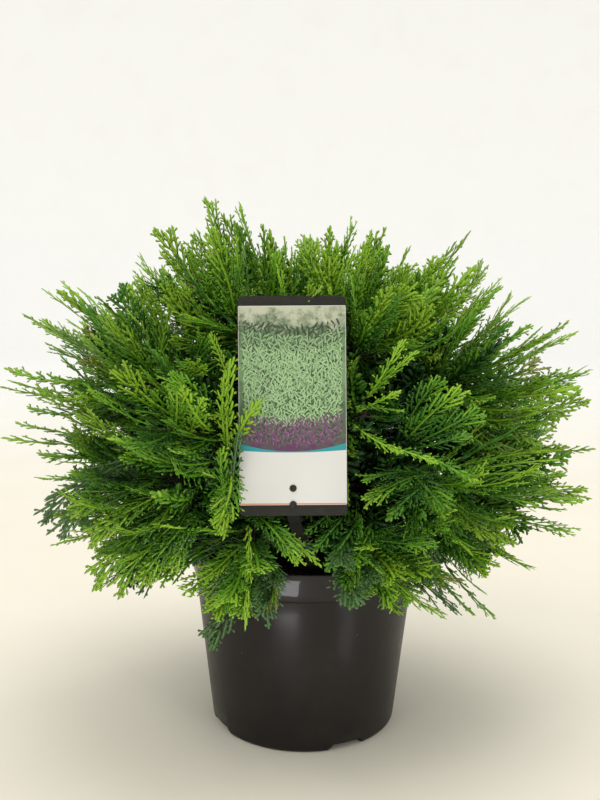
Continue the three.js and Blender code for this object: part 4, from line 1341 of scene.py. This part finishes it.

# Shoots with a place of their own, in the plant's frame: one that hangs over the rim, then those across and
# under the hollow on the right, four right of the label's stem, three on the left, the fan low on the left,
# dark ones behind the hollow, at the back and on the left, and two past the stem.
# The dark ones carry the shade green as painted shade, to fill see-through gaps in the crown.
OTHER_SHOOTS = np.array([
    [-37, -96, 180, -35, -128, 174, -38, -126, 115, 4, 0],
    [26, -84, 246, 41, -116, 238, 61, -124, 232, 5, 1],
    [50, -108, 233, 63, -124, 234, 82, -130, 227, 4.5, 1],
    [69, -112, 230, 86, -128, 228, 105, -134, 216, 5, 2],
    [36, -80, 256, 47, -106, 272, 60, -112, 302, 5, 1],
    [39, -82, 259, 50, -106, 276, 69, -112, 295, 4.5, 1],
    [28, -80, 248, 43, -110, 260, 59, -120, 271, 5.5, 1],
    [29, -82, 253, 41, -110, 260, 61, -122, 258, 5, 2], [65, -84, 231, 74, -104, 250, 97, -114, 270, 12, 2],
    [70, -88, 230, 85, -108, 242, 108, -118, 258, 12, 3],
    [64, -74, 232, 68, -94, 255, 85, -104, 276, 11, 3],
    [67, -84, 227, 82, -106, 232, 103, -116, 243, 11, 3],
    [83, -92, 213, 64, -118, 217, 38, -126, 202, 13, 2],
    [85, -94, 210, 68, -122, 209, 50, -128, 189, 13, 3],
    [61, -84, 217, 72, -114, 215, 88, -124, 196, 13, 3],
    [75, -88, 212, 58, -116, 220, 37, -122, 215, 12, 3], [30, -78, 185, 21, -102, 179, 5, -110, 163, 8, 3],
    [37, -84, 182, 26, -108, 170, 13, -114, 151, 9, 3], [45, -88, 178, 36, -114, 168, 28, -120, 142, 10, 2],
    [23, -76, 188, 13, -100, 182, -1, -106, 174, 6, 3],
    [-89, -92, 233, -77, -124, 254, -79, -132, 278, 10, 1],
    [-78, -92, 233, -68, -124, 256, -62, -132, 268, 7, 0],
    [-60, -92, 236, -68, -124, 250, -77, -134, 278, 9, 1],
    [-77, -85, 194, -100, -112, 186, -138, -100, 141, 14, 2],
    [-74, -85, 189, -94, -112, 175, -124, -100, 135, 13, 2],
    [-70, -88, 186, -86, -115, 174, -107, -108, 142, 12, 2],
    [-68, -90, 185, -77, -116, 173, -87, -113, 152, 10, 2],
    [-80, -90, 200, -106, -115, 200, -139, -105, 170, 13, 1],
    [-103, -85, 213, -131, -100, 204, -163, -85, 170, 12, 5],
    [-102, -90, 223, -133, -100, 216, -176, -80, 178, 11, 5],
    [-90, -90, 206, -119, -108, 204, -155, -95, 185, 12, 2],
    [32, -20, 287, 69, -12, 257, 108, -10, 227, 16, 4], [38, -20, 187, 77, -10, 208, 116, 0, 244, 16, 4],
    [34, -15, 224, 70, -10, 210, 113, -5, 207, 16, 4], [91, -15, 303, 103, -5, 248, 101, 0, 191, 16, 4],
    [58, -15, 191, 89, -5, 192, 124, 0, 214, 15, 4], [40, 28, 285, 46, 35, 250, 44, 38, 205, 16, 4],
    [24, 30, 262, 28, 38, 228, 24, 40, 182, 16, 4], [2, 32, 232, 8, 40, 198, 10, 42, 150, 16, 4],
    [-98, -10, 285, -108, -5, 248, -104, 0, 205, 16, 4], [-80, -5, 262, -96, 0, 240, -122, 2, 222, 15, 4],
    [-35, -88, 183, -19, -118, 182, -4, -122, 160, 10, 2],
    [-25, -92, 179, -9, -120, 178, 11, -118, 155, 4, 1],
], dtype=float)


def placed_shoots():
    """The few shoots with a place of their own, as the same arrays as grow_sprays gives, and their greens."""
    a, b, c = (np.vstack([moved(SHOOTS_BY_LABEL[:, k:k + 3], OUT_OF_LABEL), OTHER_SHOOTS[:, k:k + 3]])
               for k in (0, 3, 6))
    half, greens = np.vstack([SHOOTS_BY_LABEL, OTHER_SHOOTS])[:, 9:].T
    side = np.tile([0.95, -0.3, 0.05], (len(a), 1))
    mass = np.argmax(unit(c - CENTRE) @ AXES.T, axis=1)
    none = np.zeros(len(a), int)
    return (a, b, c, side, half, mass, none, none, none), greens.astype(int)


def standing(sprays):
    """True for the sprays that keep clear of the pot, the label, the dark gaps and the hollows."""
    a, b, c, side, half, _, sort, _, _ = sprays
    probe = np.stack([curve_points(a, b, c, np.full(len(a), t)) for t in (0.15, 0.4, 0.6, 0.8, 1.0)], axis=1)
    aside = (side * 0.8 * half[:, None])[:, None]
    hidden = in_gaps(probe).any(axis=1)
    for place in (probe, probe + aside, probe - aside):
        hidden |= in_windows(place).any(axis=1)
    return ~near_made_things(probe).any(axis=1) & ((sort == LEADER) | ~hidden)


def spray_greens(sprays, azimuth, elevation, rng):
    """The green of each spray's body: painted shade deepens it in gaps, hollows and low in the crown, where
    some are bluish.
    """
    tip, (sort, group, order) = sprays[2], sprays[6:]
    greens = deal_colours(sort, elevation, group, order, rng)
    hollow = (depth_of_gaps(azimuth, elevation) > 0.12) | in_windows(tip, 0)
    greens = np.where(hollow & (sort != LEADER), np.maximum(greens, DEEP), greens)
    under = (elevation < -14) & (sort < INNER)
    greens = np.where(under & (elevation < -26), np.maximum(greens, MIDDLE), greens)
    return np.where(under & (rng.random(len(greens)) < 0.22), BLUE, greens)


def foliage_arrays(values, rng):
    """Each spray's mass, points, corners, face sizes and greens, and the twigs of the sprays that stand."""
    sprays, twigs = grow_sprays(values, rng)
    keep = standing(sprays)
    alive = np.unique(sprays[7][keep])
    placed, placed_greens = placed_shoots()
    sprays = [np.concatenate([grown[keep], more]) for grown, more in zip(sprays, placed)]
    a, b, c, side, half, mass, sort, _, _ = sprays
    azimuth, elevation = angles(unit(c - CENTRE))
    greens = spray_greens(sprays, azimuth, elevation, rng)
    greens[-len(placed_greens):] = placed_greens
    patterns = [(name, pattern_arrays(rng, kind)) for name, kind in PATTERNS.items()
                for _ in range(kind["count"])]
    # Thin sprays are narrow, and so is a quarter of the others. The inner and the core's are plainer.
    kinds = np.where((half < 9.5) | (rng.random(len(a)) < 0.25), "narrow", "broad")
    kinds = np.where((sort == INNER) & (elevation > -12), "coarse", np.where(sort == CORE, "heart", kinds))
    draw = rng.random(len(a))
    hardened = (rng.random(len(a)) < 0.04) & (sort < INNER)
    hardened[-len(placed_greens):] = False
    half = np.where((kinds == "narrow") & (half > 10), 0.7 * half, half)
    choice = np.zeros(len(a), int)
    for name in PATTERNS:
        numbers = np.array([k for k, pattern in enumerate(patterns) if pattern[0] == name])
        mine = kinds == name
        choice[mine] = numbers[(draw[mine] * len(numbers)).astype(int)]
    pieces = []
    for number, (_, pattern) in enumerate(patterns):
        mine = np.nonzero(choice == number)[0]
        points = bend_patterns(pattern[0], a[mine], b[mine], c[mine], side[mine], half[mine])
        for spray, place in zip(mine, rest_on_made_things(points)):
            colours = face_colours(greens[spray], pattern[3], hardened[spray], sort[spray])
            pieces.append((mass[spray], place, pattern[1], pattern[2], colours))
    return pieces, [value[alive] for value in twigs]


def twig_parts(twigs, radius):
    """The stems that carry the branchlets, and each branchlet's own twig."""
    parts = []
    t = np.linspace(0, 1, 9)
    for i, (low, high) in enumerate(zip(BOUGH_ENDS - 2, STEM_ENDS)):
        wander = 1.2 * t * np.stack([np.sin(5 * t + i), np.cos(4 * t + 2 * i), np.sin(6 * t)])
        points = CENTRE + AXES[i] * (low + (high - low) * t)[:, None] + wander.T
        parts.append(tube(points, STEM["radius"] + (STEM["tip_radius"] - STEM["radius"]) * t, 6))
    taper = radius * (1 - 0.55 * np.linspace(0, 1, 7))
    for start, bend, tip, begin in zip(*twigs):
        points = curve_points(start, bend, tip, np.linspace(0, min(1, begin + 0.1), 7))
        if not near_made_things(points).any():
            parts.append(tube(points, taper, 4))
    return join(parts)


MOST_TRIANGLES = 185000


def split_by_mass(pieces):
    """Groups the sprays by whole masses, so that each group stays under the number of triangles."""
    groups, total = [], math.inf
    for mass in range(len(MASS_NAMES)):
        mine = [piece for piece in pieces if piece[0] == mass]
        triangles = sum(int((piece[3] - 2).sum()) for piece in mine)
        total += triangles
        if total > MOST_TRIANGLES:
            groups.append(([], []))
            total = triangles
        groups[-1][0].append(mass)
        groups[-1][1].extend(mine)
    return groups


class FoliageOperator(bpy.types.Operator):
    """Adds the flat sprays of scale leaves and the twigs that carry them"""
    bl_idname = "cypress.add_foliage"
    bl_label = "Foliage and twigs"

    def execute(self, context):
        values = context.scene.cypress_foliage
        wood = context.scene.cypress_wood
        sprays, twigs = foliage_arrays(values, np.random.default_rng(values.seed))
        greens = [scale_leaf_material(f"scale_leaves_{name}", getattr(values, name)) for name in GREENS]
        solids = [f"foliage_{name}" for name in MASS_NAMES]
        for number, (masses, group) in enumerate(split_by_mass(sprays), start=1):
            name = f"leaf_sprays_{number}"
            mesh = mesh_from_arrays(name, *join([spray[1:4] for spray in group]))
            add_piece(name, mesh, greens, "foliage_mid", *[solids[mass] for mass in masses])
            mesh.polygons.foreach_set("material_index", np.concatenate([spray[4] for spray in group]))
        bark = bark_material("young_bark", wood.twig_colour, wood.furrow_colour, 700, 0.0004)
        mesh = mesh_from_arrays("twigs", *twig_parts(twigs, wood.twig_radius / MM))
        add_piece("twigs", mesh, [bark], "bark", *solids)
        return {"FINISHED"}


# The label.

def rounded_rectangle(width, low, high, corner):
    """The outline of a plate, counter-clockwise as seen from the front."""
    right, top, bottom = width / 2 - corner, high - corner, low + corner
    corners = [(right, bottom, -90), (right, top, 0), (-right, top, 90), (-right, bottom, 180)]
    return [point for x, z, first in corners for point in arc(x, z, corner, first, first + 90, 6)]


def bridge(model, rings):
    """Adds the skin between rings of points to a bmesh and closes it at both ends."""
    rings = [[model.verts.new(point) for point in ring] for ring in rings]
    for low, high in zip(rings, rings[1:]):
        for k in range(len(low)):
            after = (k + 1) % len(low)
            model.faces.new((low[k], low[after], high[after], high[k]))
    model.faces.new(rings[0][::-1])
    model.faces.new(rings[-1])


def plate(outline, front, thickness):
    """A flat plate of an outline as a bmesh, in the label's own frame. Its front faces -Y."""
    model = bmesh.new()
    bridge(model, [[(x, y, z) for x, z in outline] for y in (front + thickness, front)])
    return model


def label_mesh(name, model, bevel=None, place=LABEL_PLACE):
    """Turns a bmesh in the label's own frame, in millimetres, into a mesh in its place."""
    if bevel:
        sharp = [edge for edge in model.edges if edge.calc_face_angle(0) > math.radians(50)]
        bmesh.ops.bevel(model, geom=sharp, offset=bevel, segments=2, affect="EDGES", profile=0.5,
                        clamp_overlap=True)
    model.transform(place)
    model.transform(Matrix.Scale(MM, 4))
    bmesh.ops.recalc_face_normals(model, faces=model.faces)
    mesh = bpy.data.meshes.new(name)
    model.to_mesh(mesh)
    model.free()
    return mesh


def add_label_piece(name, model, material, solid, bevel=None, place=LABEL_PLACE):
    """Adds a piece of the label's card or holder."""
    mesh = label_mesh(name, model, bevel, place)
    slot = "label_card" if solid == "label_card" else "label_black"
    return add_piece(name, mesh, [material], slot, solid)


LABEL_LOW = -LABEL["height"] / 2
CARD_LOW = LABEL_LOW + LABEL["card_bottom"]
CARD_HIGH = CARD_LOW + LABEL["card_height"]
CARD_FRONT = -GAP - LABEL["card_thickness"]
PRINT_FRONT = CARD_FRONT - 0.04
PRINT_THICKNESS = 0.03
ARC = {"side": 40.0, "middle": 34.5, "thick": 4.5, "thin": 0.6}


def stem_model():
    """The holder's flat stem as a bmesh: down behind the plate, over the rim and into the soil."""
    middle = LABEL["thickness"] / 2
    top, knee = (moved(np.array([0, middle, LABEL_LOW + z]), OUT_OF_LABEL) for z in (12, -5))
    entry, foot = np.array(LABEL["stem_entry"], float), np.array(LABEL["stem_foot"], float)
    path = [top, knee, entry, entry + (foot - entry) * 0.7, foot]
    steps = 6
    shares = np.arange(steps * (len(path) - 1) + 1) / steps
    halves = np.interp(shares, range(5), [0.9, 1.0, 1.0, 1.0, 0.3]) * LABEL["stem_width"] / 2
    line = np.stack([np.interp(shares, range(5), axis) for axis in np.transpose(path)], axis=1)
    for _ in range(3):
        line[1:-1] = (line[:-2] + 2 * line[1:-1] + line[2:]) / 4
    model = bmesh.new()
    thick = middle - 0.05
    back = [(1, 0.4), (0.86, 1), (-0.86, 1), (-1, 0.4)]
    section = [(-across, -out) for across, out in back] + back
    bridge(model, [[(x + half * across, y + thick * out, z) for across, out in section]
                   for (x, y, z), half in zip(line, halves)])
    return model


def add_peg(model, height):
    """A round peg with a domed head that stands through the card."""
    rows = [(1, LABEL["thickness"] / 2), (1, CARD_FRONT - 0.4), (0.9, CARD_FRONT - 0.75),
            (0.6, CARD_FRONT - LABEL["peg_stand"])]
    bridge(model, [[(x, y, z) for x, z in arc(0, height, LABEL["peg_radius"] * share, 0, 345, 23)]
                   for share, y in rows])


def coated_card(name, colour):
    """Coated card, or one ink on it: smooth, slightly mottled, with the soft gloss of the laminate."""
    material, tree, shader, place = new_material(name)
    cloud = add_node(tree, "ShaderNodeTexNoise", {"Vector": place, "Scale": 30, "Detail": 3})
    ramp = add_node(tree, "ShaderNodeValToRGB", {"Fac": cloud})
    set_stops(ramp.color_ramp, [(0, [c * 0.95 for c in colour]), (1, colour)])
    feed(shader, {"Base Color": ramp, "Roughness": 0.34, "IOR": 1.5})
    return material


def printed_ground(name, colours):
    """Ink on coated card: soft bands from a pale top, through sage green, to plum at the foot."""
    material, tree, shader, place = new_material(name)
    # Blotches some 8 mm across keep the bands from looking ruled.
    blotch = add_node(tree, "ShaderNodeTexNoise", {
        "Vector": place, "Scale": 120, "Detail": 5, "Roughness": 0.7,
    })
    height = add_node(tree, "ShaderNodeSeparateXYZ", {"Vector": place})
    wave = add_node(tree, "ShaderNodeMapRange", {
        "Value": blotch, "From Min": 0.25, "From Max": 0.75, "To Min": -0.016, "To Max": 0.016,
    })
    total = add_node(tree, "ShaderNodeMath", {0: height.outputs["Z"], 1: wave}, operation="ADD")
    middle = LABEL["centre"][2]
    share = add_node(tree, "ShaderNodeMapRange", {
        "Value": total, "From Min": (middle + CARD_LOW + ARC["middle"]) * MM,
        "From Max": (middle + CARD_HIGH) * MM,
    })
    ramp = add_node(tree, "ShaderNodeValToRGB", {"Fac": share})
    places = np.linspace(0.02, 0.97, len(colours))
    set_stops(ramp.color_ramp, list(zip(places, colours)))
    feed(shader, {"Base Color": ramp, "Roughness": 0.34, "IOR": 1.5})
    return material


def arc_height(x):
    """Where the curve that ends the picture runs, in the label's own frame."""
    return CARD_LOW + ARC["middle"] + (ARC["side"] - ARC["middle"]) * (2 * x / LABEL["width"]) ** 2


def leaf_tree(material):
    """Geometry nodes: leaves scattered over a flat patch, turned and sized at random."""
    tree, start = new_tree("printed_leaves", {
        "Leaf length": "Float", "Leaf width": "Float", "Seed": "Int", "Density": "Float", "Spacing": "Float",
    })
    points = add_node(tree, "GeometryNodeDistributePointsOnFaces", {
        "Mesh": start["Geometry"], "Distance Min": start["Spacing"], "Density Max": start["Density"],
        "Seed": start["Seed"],
    }, distribute_method="POISSON")
    leaf = add_node(tree, "GeometryNodeMeshCircle", {"Vertices": 10, "Radius": 0.5}, fill_type="NGON")
    turn = add_node(tree, "FunctionNodeRandomValue", {
        "Min": (0, 0, 0.3), "Max": (0, 0, 2.84), "Seed": start["Seed"],
    }, data_type="FLOAT_VECTOR")
    shape = add_node(tree, "ShaderNodeCombineXYZ", {
        "X": start["Leaf length"], "Y": start["Leaf width"], "Z": 1,
    })
    grown = add_node(tree, "FunctionNodeRandomValue", {"Min": 0.55, "Max": 1.1, "Seed": start["Seed"]},
                     data_type="FLOAT")
    size = add_node(tree, "ShaderNodeVectorMath", {0: shape, "Scale": grown}, operation="SCALE")
    end_with_copies(tree, points, leaf, turn, size, material)
    return tree


def leaf_patch(low, high, margin):
    """A strip of the picture between two heights above its curved foot, flat in X and Y, in metres."""
    half = LABEL["width"] / 2 - margin
    xs = np.linspace(-half, half, 17)
    points = [(x * MM, min(CARD_HIGH - margin, arc_height(x) + margin + height) * MM, 0)
              for height in (low, high) for x in xs]
    mesh = bpy.data.meshes.new("leaf_patch")
    mesh.from_pydata(points, [], [(k, k + 1, 18 + k, 17 + k) for k in range(16)])
    return mesh


def stand_up(mesh, front):
    """Turns a flat print from X and Y into its place on the label, at a depth before the card."""
    flat = Matrix(((1, 0, 0, 0), (0, 0, -1, front * MM), (0, 1, 0, 0), (0, 0, 0, 1)))
    place = LABEL_PLACE.copy()
    place.translation *= MM
    mesh.transform(place @ flat)
    mesh.update()


class LabelOperator(bpy.types.Operator):
    """Adds the label: its holder, stem, pegs, card and a plain printed pattern"""
    bl_idname = "cypress.add_label"
    bl_label = "Label"

    def execute(self, context):
        values = context.scene.cypress_label
        self.add_holder(values.holder_colour)
        outline = rounded_rectangle(LABEL["width"] - 0.6, CARD_LOW, CARD_HIGH, 0.8)
        board = plate(outline, CARD_FRONT, LABEL["card_thickness"])
        card = coated_card("laminated_card", values.card_colour)
        add_label_piece("label_card_board", board, card, "label_card", 0.08)
        self.add_print(values)
        self.add_leaves(values)
        return {"FINISHED"}

    def add_holder(self, colour):
        plastic = moulded_plastic("moulded_black_styrene", colour, colour)
        # A third of the holder's colour on the stem is painted shade, for the shade under the sprays. A thin
        # coat dulls it.
        stem_painted_shade = [0.3 * c for c in colour]
        shaded_stem_plastic = moulded_plastic("black_styrene_painted_shade", stem_painted_shade, stem_painted_shade, 0.05)
        outline = rounded_rectangle(LABEL["width"], LABEL_LOW, -LABEL_LOW, LABEL["corner"])
        holder = plate(outline, 0, LABEL["thickness"])
        add_label_piece("label_holder_plate", holder, plastic, "label_holder", 0.35)
        add_label_piece("label_holder_stem", stem_model(), shaded_stem_plastic, "label_holder", place=Matrix())
        model = bmesh.new()
        for height in LABEL["peg_heights"]:
            add_peg(model, CARD_LOW + height)
        pegs = add_label_piece("label_holder_pegs", model, plastic, "label_holder")
        pegs.data.shade_smooth()

    def add_print(self, values):
        """The picture's soft ground, the arc under it and the thin line at the card's foot."""
        width = LABEL["width"] - 1.2
        dark = values.dark_leaf_colour
        between = [0.5 * (a + b) for a, b in zip(dark, values.leaf_colour)]
        plum = [0.5 * c for c in values.flower_colour]
        bands = [plum, dark, dark, between, between, dark, values.sky_colour]
        foot = [(x, arc_height(x)) for x in np.linspace(-width / 2, width / 2, 25)]
        picture = [*foot, (width / 2, CARD_HIGH - 0.4), (-width / 2, CARD_HIGH - 0.4)]
        thicker = ARC["thick"] - ARC["thin"]
        band = [(x, z - ARC["thin"] - thicker * (2 * x / width) ** 2) for x, z in foot] + foot[::-1]
        line = rounded_rectangle(width, CARD_LOW + 0.3, CARD_LOW + 1.1, 0.3)
        for name, outline, ink in (
            ("ground", picture, printed_ground("printed_bands", bands)),
            ("arc", band, coated_card("printed_arc_ink", values.arc_colour)),
            ("line", line, coated_card("printed_line_ink", values.foot_colour)),
        ):
            model = plate(outline, PRINT_FRONT, PRINT_THICKNESS)
            add_label_piece(f"label_print_{name}", model, ink, "label_card")

    def add_leaves(self, values):
        """The leaves of the picture, from the back to the front."""
        # Colour, length, width, spacing, seed, and the heights above the arc between which they lie.
        prints = {
            "dark": ([0.5 * c for c in values.dark_leaf_colour], 5.0, 1.5, 2.2, 3, 2, 77),
            "sage": (values.leaf_colour, 4.2, 1.0, 1.6, 5, 13, 71),
            "pale": ([min(1, 1.3 * c) for c in values.leaf_colour], 4.0, 0.8, 1.7, 7, 17, 61),
            "plum": (values.flower_colour, 3.8, 1.0, 1.7, 9, 0, 18),
            "mauve": ([min(1, 1.7 * c) for c in values.flower_colour], 3.0, 0.7, 2.6, 11, 1, 16),
        }
        for number, (name, row) in enumerate(prints.items(), start=1):
            colour, long, wide, spacing, seed, low, high = row
            ink = coated_card(f"printed_{name}_ink", colour)
            inputs = {"Leaf length": long * MM, "Leaf width": wide * MM, "Seed": seed,
                      "Spacing": spacing * MM, "Density": 1e6}
            leaves = nodes_result(f"label_print_{name}", leaf_patch(low, high, 3.4), leaf_tree(ink), inputs)
            stand_up(leaves, PRINT_FRONT - 0.01 * number)
            add_piece(f"label_print_{name}", leaves, [], "label_card", "label_card")


# The add-on's own parts.

OPERATORS = [StageOperator, PotOperator, SoilOperator, LimbsOperator, FoliageOperator, LabelOperator]


class CypressPanel(bpy.types.Panel):
    """Lists the pieces of the plant"""
    bl_idname = "VIEW3D_PT_cypress"
    bl_label = "Potted cypress"
    bl_space_type = "VIEW_3D"
    bl_region_type = "UI"
    bl_category = "Cypress"

    def draw(self, context):
        for operator in OPERATORS:
            self.layout.operator(operator.bl_idname)


def register():
    for group in [*SETTINGS.values(), *OPERATORS, CypressPanel]:
        bpy.utils.register_class(group)
    for name, group in SETTINGS.items():
        setattr(bpy.types.Scene, name, PointerProperty(type=group))


def unregister():
    for name in SETTINGS:
        delattr(bpy.types.Scene, name)
    for group in [*SETTINGS.values(), *OPERATORS, CypressPanel]:
        bpy.utils.unregister_class(group)


def main():
    register()
    for operator in OPERATORS:
        group, name = operator.bl_idname.split(".")
        getattr(getattr(bpy.ops, group), name)()
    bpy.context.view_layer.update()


if __name__ == "__main__":
    main()
